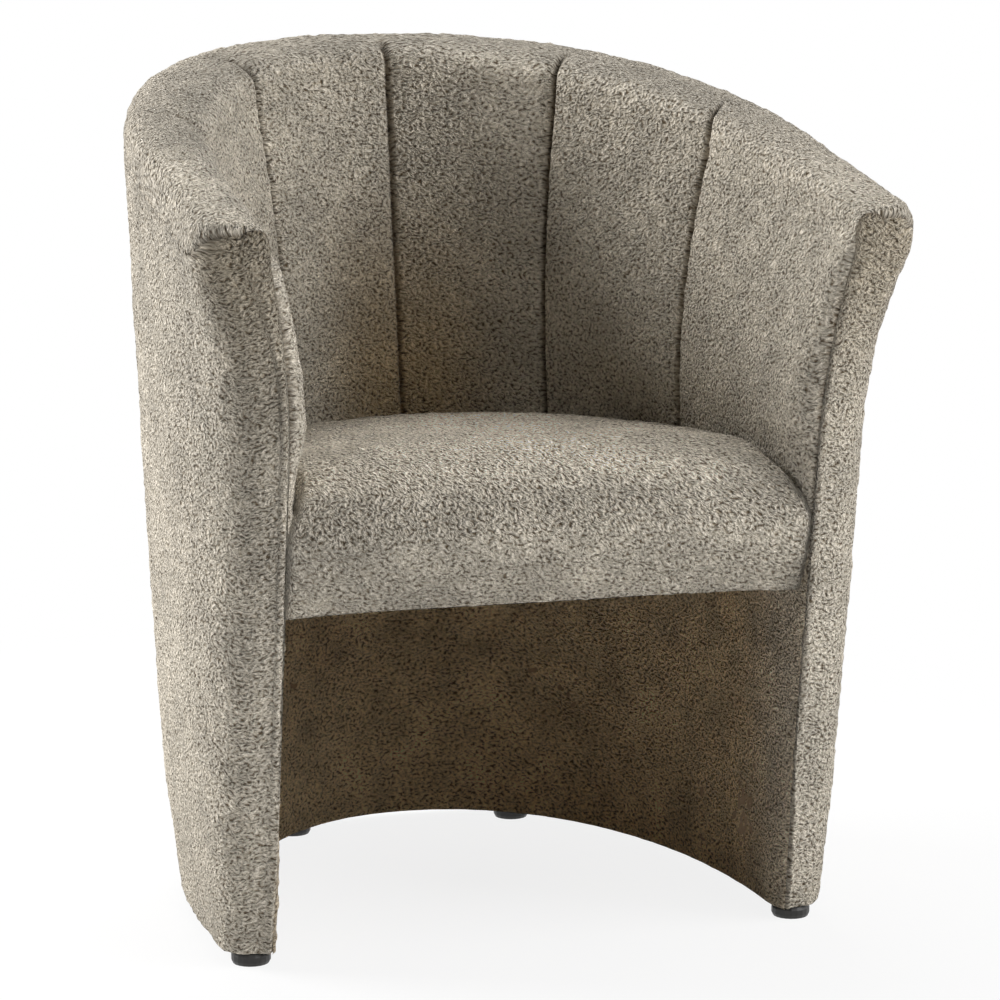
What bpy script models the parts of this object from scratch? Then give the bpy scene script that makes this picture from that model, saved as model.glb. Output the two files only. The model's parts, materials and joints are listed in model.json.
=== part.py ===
"""A club armchair: a padded, fabric-covered tub wall round a sprung seat, on four glides.

Metres, +Z up. The sitter faces -Y. The origin is on the floor under the middle of the chair.
"""

import math

import bmesh
import bpy
import numpy as np
from mathutils import Vector

# Outside form of the tub
HEIGHT = 0.768
ARM_HEIGHT = 0.647
BASE_HALF_WIDTH = 0.2735
TAPER_HALF_WIDTH = 0.2895
WAIST_HALF_WIDTH = 0.3055
TOP_HALF_WIDTH = 0.318
TAPER_HEIGHT = 0.120
BASE_FRONT = 0.218
TOP_FRONT = 0.3415
BASE_BACK = 0.255
TOP_BACK = 0.318
SIDE_END_Y = -0.148
BACK_SQUARENESS = 2.5
FRONT_BASE_HALF_WIDTH = 0.279
FRONT_HALF_WIDTH = 0.2725
FRONT_FLARE = 0.043
FLARE_START = 0.440
FRONT_ROUND = 0.036
ROLL_HEIGHT = 0.034
ROLL_SQUARENESS = 3.2
ROLL_SKEW = -0.05
NOSE_SHARE = 0.75
HEM_HEIGHT = 0.011

# Inside form of the tub
SEAM_HALF_WIDTH = 0.233
SEAM_FLARE = 0.020
INNER_HALF_WIDTH = 0.2155
INNER_FLARE = 0.040
INNER_SIDE_END_Y = -0.170
INNER_SQUARENESS = 2.1
LIP_POWER = 4
LINING_HALF_WIDTH = 0.2275
LINING_BACK = 0.216
INNER_SEAT_BACK = 0.202
INNER_TOP_BACK = 0.258
LEAN_START = 0.410
PILLOW = 0.005
PILLOW_START = 0.420
PILLOW_RISE = 0.060
ROLL_PILLOW_SHARE = 0.25
SIDE_SEAM = 0.25

# Layers of the wall
GAP = 0.0003
COVER = 0.002
WADDING = 0.006
PANEL = 0.003
BACK_FOAM = 0.020
POST_CLEARANCE = 0.0013
PLY = 0.018
RAIL_DEPTH = 0.020
TOP_BAND = 0.010
RAIL_CLEARANCE = 0.001

# Seat
SEAT_BOTTOM = 0.308
SEAT_DEPTH = 0.117
SEAT_CROWN_RISE = 0.010
WALL_SPLIT_RISE = 0.006
SEAT_FRONT = 0.236
SEAT_BULGE = 0.043
SEAT_SWELL_TURN = math.radians(130)
SEAT_TILT = 0.065
SEAT_ROLL_START = -0.175
SEAT_ROLL_RADIUS = 0.150
SEAT_BOW = 0.006
SEAT_CORNER = 0.008
SEAT_EDGE_ROUND = 0.010
SEAT_FIT = 0.0008
SEAT_SIDE_SHARE = 0.6
SEAT_RING_WIDTH = 0.045
SEAT_RING_DEPTH = 0.026
FRONT_RAIL_WIDTH = 0.028
FRONT_RAIL_INSET = 0.004
CORNER_BLOCK = 0.035
FELT = 0.004
FELT_INSET = 0.012
DUST_COVER = 0.0015

# Wave springs, their clips and the seat bolts
SPRING_COUNT = 4
SPRING_SPACING = 0.066
SPRING_WAVES = 6
WAVE_STEPS = 7
SPRING_SWING = 0.020
SPRING_FOLD = 0.004
SPRING_WIRE = 0.0018
SPRING_END_BAR = 0.022
CLIP_LENGTH = 0.016
CLIP_WALL = 0.0012
BOLT_RADIUS = 0.003
BOLT_HEAD_RADIUS = 0.0065
BOLT_HEAD = 0.004
BOLT_BITE = 0.020
BOLT_ROWS = (-0.150, -0.060)
SPACER = 0.024
HOLE_CLEARANCE = 0.0004

# Glides and their screws
GLIDE_RADIUS = 0.0172
GLIDE_TOP_RADIUS = 0.0160
GLIDE_EDGE = 0.0015
GLIDE_RECESS_RADIUS = 0.0065
GLIDE_RECESS = 0.006
FRONT_GLIDE_SIDE_INSET = 0.0245
FRONT_GLIDE_INSET = 0.020
BACK_GLIDE_SIDE_INSET = 0.162
BACK_GLIDE_INSET = 0.0445
SCREW_RADIUS = 0.002
SCREW_HEAD_RADIUS = 0.0055
SCREW_HEAD = 0.003
SCREW_BITE = 0.014

# Counts of points: along the arm front, round its corner, along the side and across each back panel
FRONT_STEPS = 6
CORNER_STEPS = 3
SIDE_STEPS = 2
ARM_BACK_STEPS = 2
PANEL_STEPS = 4
ROLL_STEPS = 6
LEVEL_SHARES = (0.2, 0.4, 0.6, 0.8)
SEAT_LEVELS = 6
CROWN_SHARES = (0.92, 0.78, 0.58, 0.34)
SEAT_CORNER_SHARES = (0.0, 0.35, 0.7)
SEAT_FLARE_SHARES = (0.0, 0.12, 0.26, 0.5)
CLIP_STEPS = 6
SETTLE_STEPS = 8
TURN_STEPS = 20
BAR_SIDES = 12

BACK_STEPS = ARM_BACK_STEPS + 2 * PANEL_STEPS
BACK_SHARES = [SIDE_SEAM * i / ARM_BACK_STEPS for i in range(ARM_BACK_STEPS)]
BACK_SHARES += [SIDE_SEAM + (1 - SIDE_SEAM) * i / (2 * PANEL_STEPS) for i in range(2 * PANEL_STEPS + 1)]
CORNER_END = CORNER_STEPS
CENTRE = CORNER_STEPS + SIDE_STEPS + BACK_STEPS

# Depths of the layers, from the outside in and from the inside out
WADDING_DEPTH = COVER + GAP
OUTER_PANEL_DEPTH = WADDING_DEPTH + WADDING + GAP
FRAME_DEPTH = OUTER_PANEL_DEPTH + PANEL + GAP
FOAM_DEPTH = COVER + GAP
INNER_PANEL_DEPTH = FOAM_DEPTH + BACK_FOAM + GAP
RAIL_OUTER_DEPTH = FRAME_DEPTH + RAIL_CLEARANCE
RAIL_INNER_DEPTH = INNER_PANEL_DEPTH + PANEL + GAP + RAIL_CLEARANCE
LINING_PANEL_DEPTH = COVER + GAP
POST_INSET = LINING_PANEL_DEPTH + PANEL + 2 * GAP
LEAST_FLAT = 1.4 * POST_INSET
FRAME_LINING_DEPTH = LINING_PANEL_DEPTH + PANEL + GAP
BOARD_BOTTOM = HEM_HEIGHT + COVER + GAP
SEAT_SIDE = SEAT_FIT + COVER + GAP
SEAT_EDGE = SEAT_BOTTOM + SEAT_DEPTH
RING_TOP = SEAT_BOTTOM + SEAT_RING_DEPTH
WALL_SPLIT = RING_TOP + WALL_SPLIT_RISE
SPRING_HEIGHT = RING_TOP + GAP + CLIP_WALL + GAP + SPRING_WIRE
FELT_BOTTOM = SPRING_HEIGHT + SPRING_WIRE + GAP + CLIP_WALL + GAP
FOAM_BOTTOM = FELT_BOTTOM + FELT + GAP
SEAT_RIB_BOTTOM = SEAT_BOTTOM + (SEAT_RING_DEPTH - PLY) / 2
BOLT_HEIGHT = SEAT_BOTTOM + SEAT_RING_DEPTH / 2
RAIL_FRONT_Y = -SEAT_FRONT + COVER + GAP + FRONT_RAIL_INSET
RAIL_BACK_Y = RAIL_FRONT_Y + FRONT_RAIL_WIDTH
FRONT_GLIDE = (BASE_HALF_WIDTH - FRONT_GLIDE_SIDE_INSET, FRONT_GLIDE_INSET - BASE_FRONT)
BACK_GLIDE = (BASE_HALF_WIDTH - BACK_GLIDE_SIDE_INSET, BASE_BACK - BACK_GLIDE_INSET)


for old in list(bpy.data.objects):
    bpy.data.objects.remove(old)

chair = bpy.data.collections.new("club_armchair")
cutters = bpy.data.collections.new("cutters")
bpy.context.scene.collection.children.link(chair)
bpy.context.scene.collection.children.link(cutters)


def make_material(name, colour, roughness, metallic=0.0):
    """One plain surface for a kind of piece."""
    material = bpy.data.materials.new(name)
    material.use_nodes = True
    shader = material.node_tree.nodes["Principled BSDF"]
    shader.inputs["Base Color"].default_value = (*colour, 1.0)
    shader.inputs["Roughness"].default_value = roughness
    shader.inputs["Metallic"].default_value = metallic
    return material


FABRIC = make_material("loop_fabric", (0.42, 0.38, 0.33), 0.95)
FOAM = make_material("foam", (0.80, 0.74, 0.52), 0.95)
FELT_GREY = make_material("felt", (0.30, 0.30, 0.30), 0.95)
WOOD = make_material("wood", (0.66, 0.48, 0.29), 0.65)
HARDBOARD = make_material("hardboard", (0.36, 0.24, 0.14), 0.70)
STEEL = make_material("steel", (0.55, 0.55, 0.56), 0.35, 1.0)
BLACK_CLOTH = make_material("black_cloth", (0.03, 0.03, 0.03), 0.90)
BLACK_PLASTIC = make_material("black_plastic", (0.015, 0.014, 0.013), 0.45)


def slope(base, top, z):
    """A size that changes evenly from the floor to the full height."""
    return base + (top - base) * z / HEIGHT


def flare(z, top):
    """Share of the outward flare reached at height z, where it is full at height top."""
    return min(1.0, max(0.0, (z - FLARE_START) / (top - FLARE_START))) ** 2


SIDE_HEIGHTS = (0, TAPER_HEIGHT, FLARE_START, HEIGHT)
SIDE_HALF_WIDTHS = (BASE_HALF_WIDTH, TAPER_HALF_WIDTH, WAIST_HALF_WIDTH, TOP_HALF_WIDTH)


def oval(width, start, end, squareness, share):
    """A point on a quarter of a squared oval, from the side to the back centre."""
    turn = share * math.pi / 2
    power = 2 / squareness
    across = width * max(0.0, math.cos(turn)) ** power
    return across, start + (end - start) * math.sin(turn) ** power


def roll_profile():
    """Section of the rim's roll: shares of its width and height, from outside to inside."""
    power = 2 / ROLL_SQUARENESS
    profile = []
    for i in range(ROLL_STEPS + 1):
        turn = math.pi * i / ROLL_STEPS
        across = math.copysign(abs(math.cos(turn)) ** power, math.cos(turn))
        height = math.sin(turn) ** power * (1 - ROLL_SKEW * across) if 0 < i < ROLL_STEPS else 0.0
        profile.append(((1 - across) / 2, height))
    return profile


ROLL_PROFILE = roll_profile()
FRONT_ROLL_BASE = ARM_HEIGHT - ROLL_HEIGHT
BACK_ROLL_BASE = HEIGHT - ROLL_HEIGHT


def outer_half(z, seam_inset=0.0):
    """Right half of the tub's outside in plan: arm front, round corner, side, then back to the middle."""
    front = -slope(BASE_FRONT, TOP_FRONT, z)
    back = slope(BASE_BACK, TOP_BACK, z)
    side = float(np.interp(z, SIDE_HEIGHTS, SIDE_HALF_WIDTHS))
    corner = float(np.interp(z, (0, FLARE_START), (FRONT_BASE_HALF_WIDTH, FRONT_HALF_WIDTH)))
    corner += FRONT_FLARE * flare(z, FRONT_ROLL_BASE)
    seam = SEAM_HALF_WIDTH + SEAM_FLARE * flare(z, FRONT_ROLL_BASE)
    flat_end = max(corner - FRONT_ROUND, seam + LEAST_FLAT)
    seam += seam_inset
    corner_end_y = front + FRONT_ROUND

    def side_x(y):
        return side + (corner - side) * ((SIDE_END_Y - y) / (SIDE_END_Y - front)) ** 2

    points = [(seam + (flat_end - seam) * i / FRONT_STEPS, front) for i in range(FRONT_STEPS)]
    for i in range(CORNER_STEPS):
        t = i / CORNER_STEPS
        x = flat_end * (1 - t) ** 2 + corner * 2 * t * (1 - t) + side_x(corner_end_y) * t**2
        points.append((x, front + FRONT_ROUND * t**2))
    for i in range(SIDE_STEPS):
        y = corner_end_y + (SIDE_END_Y - corner_end_y) * i / SIDE_STEPS
        points.append((side_x(y), y))
    points += [oval(side, SIDE_END_Y, back, BACK_SQUARENESS, share) for share in BACK_SHARES]
    return np.array(points)


def rim_share(y):
    """How far along the sloping rim a point lies: 0 at the arm front, 1 at the back."""
    front = slope(BASE_FRONT, TOP_FRONT, FRONT_ROLL_BASE)
    back = (slope(BASE_BACK, TOP_BACK, BACK_ROLL_BASE) + INNER_TOP_BACK) / 2
    return (y + front) / (front + back)


def settle(point):
    """Height at which a point that moves with height meets the sloping plane under the rim's roll."""
    z = FRONT_ROLL_BASE
    for _ in range(SETTLE_STEPS):
        z = FRONT_ROLL_BASE + (BACK_ROLL_BASE - FRONT_ROLL_BASE) * rim_share(point(z)[1])
    return float(z)


ROLL_BASES = [settle(lambda z: outer_half(z)[FRONT_STEPS + j]) for j in range(CENTRE + 1)]


def roll_base(j):
    """Height where the roll starts on the outside at station j; the arm front takes its corner's."""
    return ROLL_BASES[max(j, 0)]


def roll_height(j):
    """Height of the roll, lower at the very front, where it turns down to the arm front."""
    nose = 1 - (1 - min(1.0, j / CORNER_STEPS)) ** 2
    return ROLL_HEIGHT * (NOSE_SHARE + (1 - NOSE_SHARE) * math.sqrt(nose))


def normals_of(points, turn):
    """Unit normals of a half outline that its mirror image continues; turn is 1 for left, -1 for right."""
    mirrored = points[-2] * np.array([-1, 1])
    ahead = np.vstack([points[1:], mirrored])
    behind = np.vstack([points[:1], points[:-1]])
    along = ahead - behind
    along /= np.linalg.norm(along, axis=1)[:, None]
    return np.stack([-along[:, 1], along[:, 0]], axis=1) * turn


def outer(j, z, depth=0.0, seam_inset=0.0):
    """A point of the outside at station j and height z, depth below the surface. Fronts have j below 0."""
    plan_z = min(z, roll_base(j))
    points = outer_half(plan_z, seam_inset)
    normals = normals_of(points, 1)
    normals[0] = (0, 1)
    normals[FRONT_STEPS + CORNER_END] = (-1, 0)
    x, y = points[j + FRONT_STEPS] + normals[j + FRONT_STEPS] * depth
    return np.array([x, y, z])


def inner_half(z):
    """Right half of the tub's inside in plan, from the seam on the arm front to the back middle."""
    front = -slope(BASE_FRONT, TOP_FRONT, z)
    seam = SEAM_HALF_WIDTH + SEAM_FLARE * flare(z, FRONT_ROLL_BASE)
    if z < WALL_SPLIT:
        back = LINING_BACK
        width = [LINING_HALF_WIDTH] * (CENTRE + 1)
    else:
        lean = max(0.0, (z - LEAN_START) / (HEIGHT - LEAN_START))
        back = INNER_SEAT_BACK + (INNER_TOP_BACK - INNER_SEAT_BACK) * lean
        width = [INNER_HALF_WIDTH + INNER_FLARE * flare(z, roll_base(j)) for j in range(CENTRE + 1)]

    def side_x(y, j):
        share = (INNER_SIDE_END_Y - y) / (INNER_SIDE_END_Y - front)
        return width[j] + (seam - width[j]) * share**LIP_POWER

    corner_end_y = front + FRONT_ROUND
    rows = [front + FRONT_ROUND * (i / CORNER_STEPS) ** 2 for i in range(CORNER_STEPS)]
    rows[0] += COVER + GAP
    for i in range(SIDE_STEPS):
        rows.append(corner_end_y + (INNER_SIDE_END_Y - corner_end_y) * i / SIDE_STEPS)
    points = [(side_x(y, j), y) for j, y in enumerate(rows)]
    for i, share in enumerate(BACK_SHARES):
        oval_width = width[CORNER_STEPS + SIDE_STEPS + i]
        points.append(oval(oval_width, INNER_SIDE_END_Y, back, INNER_SQUARENESS, share))
    return np.array(points)


def pillow(j, z):
    """How far a padded panel swells between its seams, above the seat."""
    rise = min(1.0, max(0.0, (z - PILLOW_START) / PILLOW_RISE))
    arm_end = CENTRE - 2 * PANEL_STEPS
    if j <= arm_end:
        share = j / arm_end
    else:
        share = (j - arm_end) % PANEL_STEPS / PANEL_STEPS
    return PILLOW * rise * (1 - abs(2 * share - 1) ** 3)


def inner(j, z, depth=0.0):
    """A point of the inside at station j and height z, depth below the surface, into the wall."""
    points = inner_half(z)
    normals = normals_of(points, -1)
    normals[: CORNER_END + 1] = (1, 0)
    x, y = points[j] + normals[j] * (depth - pillow(j, z))
    return np.array([x, y, z])


def both_sides(first, point):
    """Rows of points from station first on the right, round the back, to the same station on the left."""
    right = [point(j) for j in range(first, CENTRE + 1)]
    left = [[p * np.array([-1, 1, 1]) for p in row] for row in reversed(right[:-1])]
    return right + left


def mesh_object(name, bm, material):
    """Puts a finished mesh into the chair as one named piece, with its faces pointing out."""
    bmesh.ops.recalc_face_normals(bm, faces=bm.faces[:])
    mesh = bpy.data.meshes.new(name)
    bm.to_mesh(mesh)
    bm.free()
    mesh.shade_smooth()
    mesh.set_sharp_from_angle(angle=math.radians(35))
    piece = bpy.data.objects.new(name, mesh)
    piece.data.materials.append(material)
    chair.objects.link(piece)
    return piece


def split_quad(bm, near, far, rising):
    """Two triangles between two pairs of points. Layers that split alike stay apart where they twist."""
    if rising:
        bm.faces.new((near[0], far[0], far[1]))
        bm.faces.new((near[0], far[1], near[1]))
    else:
        bm.faces.new((near[0], far[0], near[1]))
        bm.faces.new((far[0], far[1], near[1]))


def slab(name, face, back, material):
    """The solid between two grids of points, such as a bent panel or a cover."""
    bm = bmesh.new()
    grids = [[[bm.verts.new(p) for p in row] for row in grid] for grid in (face, back)]
    rows, columns = len(face), len(face[0])
    for grid in grids:
        for i in range(rows - 1):
            for k in range(columns - 1):
                split_quad(bm, grid[i][k : k + 2], grid[i + 1][k : k + 2], 2 * i < rows - 1)
    front, rear = grids
    for i in range(rows - 1):
        for k in (0, columns - 1):
            bm.faces.new((front[i][k], rear[i][k], rear[i + 1][k], front[i + 1][k]))
    for k in range(columns - 1):
        for i in (0, rows - 1):
            bm.faces.new((front[i][k], front[i][k + 1], rear[i][k + 1], rear[i][k]))
    return mesh_object(name, bm, material)


def loft(name, rings, material):
    """A solid through closed rings of equal count, capped at both ends."""
    bm = bmesh.new()
    loops = [[bm.verts.new(p) for p in ring] for ring in rings]
    for low, high in zip(loops, loops[1:]):
        for k in range(len(low)):
            n = (k + 1) % len(low)
            split_quad(bm, (low[k], high[k]), (low[n], high[n]), True)
    bm.faces.new(loops[0])
    bm.faces.new(loops[-1])
    return mesh_object(name, bm, material)


def cup(name, outside, inside, material):
    """A cap of cloth: two stacks of rings, joined at the open bottom and each closed at the top."""
    bm = bmesh.new()
    stacks = [[[bm.verts.new(p) for p in ring] for ring in rings] for rings in (outside, inside)]
    for loops in stacks:
        for low, high in zip(loops, loops[1:]):
            for k in range(len(low)):
                n = (k + 1) % len(low)
                split_quad(bm, (low[k], high[k]), (low[n], high[n]), True)
        bm.faces.new(loops[-1])
    outer_edge, inner_edge = stacks[0][0], stacks[1][0]
    for k in range(len(outer_edge)):
        n = (k + 1) % len(outer_edge)
        bm.faces.new((outer_edge[k], outer_edge[n], inner_edge[n], inner_edge[k]))
    return mesh_object(name, bm, material)


def turned(name, profile, material, x, y):
    """A turned piece: a closed profile of radius and height, swept once round its own axis."""
    mesh = bpy.data.meshes.new(name)
    edges = [(k, (k + 1) % len(profile)) for k in range(len(profile))]
    mesh.from_pydata([(r, 0.0, z) for r, z in profile], edges, [])
    piece = bpy.data.objects.new(name, mesh)
    piece.location = (x, y, 0.0)
    piece.data.materials.append(material)
    screw = piece.modifiers.new("turn", "SCREW")
    screw.steps = TURN_STEPS
    screw.render_steps = TURN_STEPS
    screw.use_merge_vertices = True
    screw.merge_threshold = 0.00001
    chair.objects.link(piece)
    return piece


def cylinder_cutter(name, radius, start, end):
    """A round cutter between two points, hidden from the model."""
    start, end = Vector(start), Vector(end)
    bm = bmesh.new()
    bmesh.ops.create_cone(
        bm, cap_ends=True, segments=16, radius1=radius, radius2=radius, depth=(end - start).length
    )
    mesh = bpy.data.meshes.new(name)
    bm.to_mesh(mesh)
    bm.free()
    cutter = bpy.data.objects.new(name, mesh)
    cutter.location = (start + end) / 2
    cutter.rotation_mode = "QUATERNION"
    cutter.rotation_quaternion = (end - start).to_track_quat("Z", "Y")
    cutter.hide_render = True
    cutter.display_type = "WIRE"
    cutters.objects.link(cutter)
    return cutter


def cut(piece, cutter):
    """Takes a cutter's shape out of a piece."""
    boolean = piece.modifiers.new("cut_" + cutter.name, "BOOLEAN")
    boolean.operation = "DIFFERENCE"
    boolean.object = cutter


def outer_column(j, bottom, depth=0.0, seam_inset=0.0, rise=0.0):
    """Points up the outside at station j, from the bottom to just under the roll."""
    base = roll_base(j)
    top = settle(lambda z: outer(j, z, depth, seam_inset)) - GAP
    heights = [bottom, TAPER_HEIGHT, FLARE_START, (FLARE_START + base) / 2]
    if j < 0 and rise:
        heights += [top, top + rise]
    else:
        heights += [base - TOP_BAND, top]
    return [outer(j, z, depth, seam_inset) for z in heights]


def front_rise(j):
    """How far the arm-front cloth rises over the end of the roll at a station across the front."""
    share = min(1.0, (j + FRONT_STEPS) / FRONT_STEPS)
    rise = (1 - abs(2 * share - 1) ** ROLL_SQUARENESS) ** (1 / ROLL_SQUARENESS)
    return max(COVER, roll_height(0) * rise)


def inner_column(j, depth):
    """Points down the inside at station j, from just under the roll to the seat."""
    base = settle(lambda z: inner_half(z)[j])
    steps = [LEAN_START + (base - LEAN_START) * share for share in reversed(LEVEL_SHARES)]
    return [inner(j, z, depth) for z in (*steps, LEAN_START, WALL_SPLIT)]


def inner_top(j, depth, drop=0.0):
    """The point of the inside at station j that lies on the plane under the roll, or a drop below it."""
    return inner(j, settle(lambda z: inner(j, z, depth)) - drop, depth)


def roll_line(j):
    """The two ends of the roll's base at station j and the direction between them."""
    start = outer(j, roll_base(j))
    end = inner_top(j, 0.0)
    if j == 0:
        start[1] = end[1]
        start[2] = end[2]
    return start, end, (end - start) / np.linalg.norm(end - start)


def roll_row(j, depth):
    """Points over the rolled rim at station j, from outside to inside, depth below its surface."""
    start, end, across = roll_line(j)
    rise = roll_height(j) + ROLL_PILLOW_SHARE * pillow(j, end[2]) - depth
    row = []
    for share, height in ROLL_PROFILE:
        point = (start + across * depth) * (1 - share) + (end - across * depth) * share
        row.append(point + np.array([0, 0, rise * height]))
    return row


def rim_row(j, depth):
    """Points over the rim and down the inside to the seat, depth below the surface."""
    return roll_row(j, depth) + inner_column(j, depth)


def foam_rear_row(j):
    """Flat underside of the foam roll at station j, then the rear of the foam down to the seat."""
    start, _, across = roll_line(j)
    first = start + across * (OUTER_PANEL_DEPTH + PANEL)
    rear = [inner_top(j, FOAM_DEPTH + BACK_FOAM), *inner_column(j, FOAM_DEPTH + BACK_FOAM)]
    if j <= CORNER_END:
        for point in rear:
            seam = SEAM_HALF_WIDTH + SEAM_FLARE * flare(point[2], FRONT_ROLL_BASE)
            point[0] = seam + POST_INSET - POST_CLEARANCE
    flat = [first * (1 - share) + rear[0] * share for share, _ in ROLL_PROFILE]
    return flat + rear[1:]


def frame_face(j, z):
    """A point of the frame's outer face at height z, on the outer panel's straight runs between levels."""
    levels = (BOARD_BOTTOM, TAPER_HEIGHT, FLARE_START)
    points = np.array([outer(j, level, FRAME_DEPTH) for level in levels])
    return np.array([np.interp(z, levels, column) for column in points.T])


def level_ring(name, bottom, top):
    """A level U of board that fills the lower wall from the outer panel to the lining panel."""
    face = both_sides(CORNER_END, lambda j: [frame_face(j, z) for z in (bottom, top)])
    back = both_sides(CORNER_END, lambda j: [inner(j, z, FRAME_LINING_DEPTH) for z in (bottom, top)])
    return slab(name, face, back, WOOD)


def outer_top(j, depth, drop):
    """The point of the outside at station j that lies a drop below the plane under the roll."""
    return outer(j, settle(lambda z: outer(j, z, depth)) - drop, depth)


def build_covers():
    """The fabric skins of the tub: outside with the arm fronts, inside with the rim, and the lining."""

    def outside(depth):
        return both_sides(
            -FRONT_STEPS, lambda j: outer_column(j, HEM_HEIGHT, depth, rise=front_rise(j))
        )

    slab("outer_cover", outside(0.0), outside(COVER), FABRIC)
    slab(
        "inner_cover",
        both_sides(0, lambda j: rim_row(j, 0.0)),
        both_sides(0, lambda j: rim_row(j, COVER)),
        FABRIC,
    )
    heights = (HEM_HEIGHT, (HEM_HEIGHT + WALL_SPLIT) / 2, WALL_SPLIT - GAP)
    return slab(
        "lining_cover",
        both_sides(0, lambda j: [inner(j, z) for z in heights]),
        both_sides(0, lambda j: [inner(j, z, COVER) for z in heights]),
        FABRIC,
    )


def build_padding():
    """Wadding under the outer cover, and the back foam with its roll over the rim."""

    def wadding(depth):
        return both_sides(-FRONT_STEPS, lambda j: outer_column(j, BOARD_BOTTOM, depth, POST_INSET))

    slab("wall_wadding", wadding(WADDING_DEPTH), wadding(WADDING_DEPTH + WADDING), FOAM)
    slab(
        "back_foam",
        both_sides(0, lambda j: rim_row(j, FOAM_DEPTH)),
        both_sides(0, foam_rear_row),
        FOAM,
    )


def build_panels():
    """The bent hardboard: outside, inside above the seat, and inside below it."""

    def outside(depth):
        return both_sides(CORNER_END, lambda j: outer_column(j, BOARD_BOTTOM, depth))

    slab("outer_panel", outside(OUTER_PANEL_DEPTH), outside(OUTER_PANEL_DEPTH + PANEL), HARDBOARD)

    def inside(depth):
        return both_sides(
            CORNER_END + 1, lambda j: [inner_top(j, depth, GAP), *inner_column(j, depth)]
        )

    slab("inner_panel", inside(INNER_PANEL_DEPTH), inside(INNER_PANEL_DEPTH + PANEL), HARDBOARD)
    heights = (BOARD_BOTTOM, (HEM_HEIGHT + WALL_SPLIT) / 2, WALL_SPLIT - GAP)
    return slab(
        "lining_panel",
        both_sides(0, lambda j: [inner(j, z, LINING_PANEL_DEPTH) for z in heights]),
        both_sides(0, lambda j: [inner(j, z, LINING_PANEL_DEPTH + PANEL) for z in heights]),
        HARDBOARD,
    )


def build_posts():
    """The two front posts: they lean, flare and turn round the corner as the arm fronts do."""
    posts = {}
    for side, sign in (("right", 1), ("left", -1)):
        stations = [-FRONT_STEPS, *range(CORNER_END + 1)]
        columns = [outer_column(j, BOARD_BOTTOM, OUTER_PANEL_DEPTH, POST_INSET) for j in stations]
        for point in columns[-1]:
            point[1] -= GAP
        inside = [p.copy() for p in columns[-1]]
        for point, seam_point in zip(inside, columns[0]):
            point[0] = seam_point[0]
        columns.append(inside)
        mirror = np.array([sign, 1, 1])
        rings = [[p * mirror for p in line] for line in zip(*columns)]
        posts[side] = loft(f"{side}_front_post", rings, WOOD)
    return posts


def build_frame():
    """Base ring, seat rib, top rail and the struts between them."""
    base_top = BOARD_BOTTOM + PLY
    rib_top = SEAT_RIB_BOTTOM + PLY
    base = level_ring("base_ring", BOARD_BOTTOM, base_top)
    rib = level_ring("seat_rib", SEAT_RIB_BOTTOM, rib_top)
    drops = (GAP + RAIL_DEPTH, GAP)
    first = CORNER_END + 1
    slab(
        "top_rail",
        both_sides(first, lambda j: [outer_top(j, RAIL_OUTER_DEPTH, drop) for drop in drops]),
        both_sides(first, lambda j: [inner_top(j, RAIL_INNER_DEPTH, drop) for drop in drops]),
        WOOD,
    )
    places = {"side": CORNER_STEPS + SIDE_STEPS + 1, "back": CENTRE - PANEL_STEPS + 1}
    for place, j in places.items():
        for side, sign in (("right", 1), ("left", -1)):
            mirror = np.array([sign, 1, 1])
            pair = (j, j + 1)
            heights = (base_top + GAP, SEAT_RIB_BOTTOM - GAP)
            slab(
                f"lower_{place}_strut_{side}",
                [[frame_face(i, z) * mirror for z in heights] for i in pair],
                [[inner(i, z, FRAME_LINING_DEPTH) * mirror for z in heights] for i in pair],
                WOOD,
            )
            drop = RAIL_DEPTH + 2 * GAP
            face = []
            back = []
            for i in pair:
                line = [inner_top(i, RAIL_INNER_DEPTH, drop), *inner_column(i, RAIL_INNER_DEPTH)]
                top = outer_top(i, RAIL_OUTER_DEPTH, drop)
                face.append([top * mirror, *(outer(i, p[2], FRAME_DEPTH) * mirror for p in line[1:])])
                back.append([p * mirror for p in line])
            slab(f"upper_{place}_strut_{side}", face, back, WOOD)
    return base, rib


def build_bottom_strip():
    """The black strip that closes the wall from below, round the front corners too."""
    heights = (HEM_HEIGHT, HEM_HEIGHT + COVER)
    face = both_sides(0, lambda j: [outer(j, z, COVER + GAP) for z in heights])
    back = both_sides(0, lambda j: [inner(j, z, COVER + GAP) for z in heights])
    return slab("bottom_strip", face, back, BLACK_CLOTH)


def seat_front_y(z, inset):
    """Where the front of the seat lies at height z: a roll that swells forward over the front rail."""
    share = (z - SEAT_BOTTOM) / SEAT_DEPTH
    swell = math.sin(SEAT_SWELL_TURN * min(1.0, share))
    return -(SEAT_FRONT + SEAT_BULGE * swell) + inset


def seat_shift(y):
    """How far the seat's top is raised at depth y: it tilts down to the back and rolls over at the front."""
    middle = (INNER_SEAT_BACK - SEAT_FRONT - SEAT_BULGE) / 2
    roll = np.maximum(0, SEAT_ROLL_START - y)
    return SEAT_TILT * (middle - y) - roll**2 / (2 * SEAT_ROLL_RADIUS)


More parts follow.
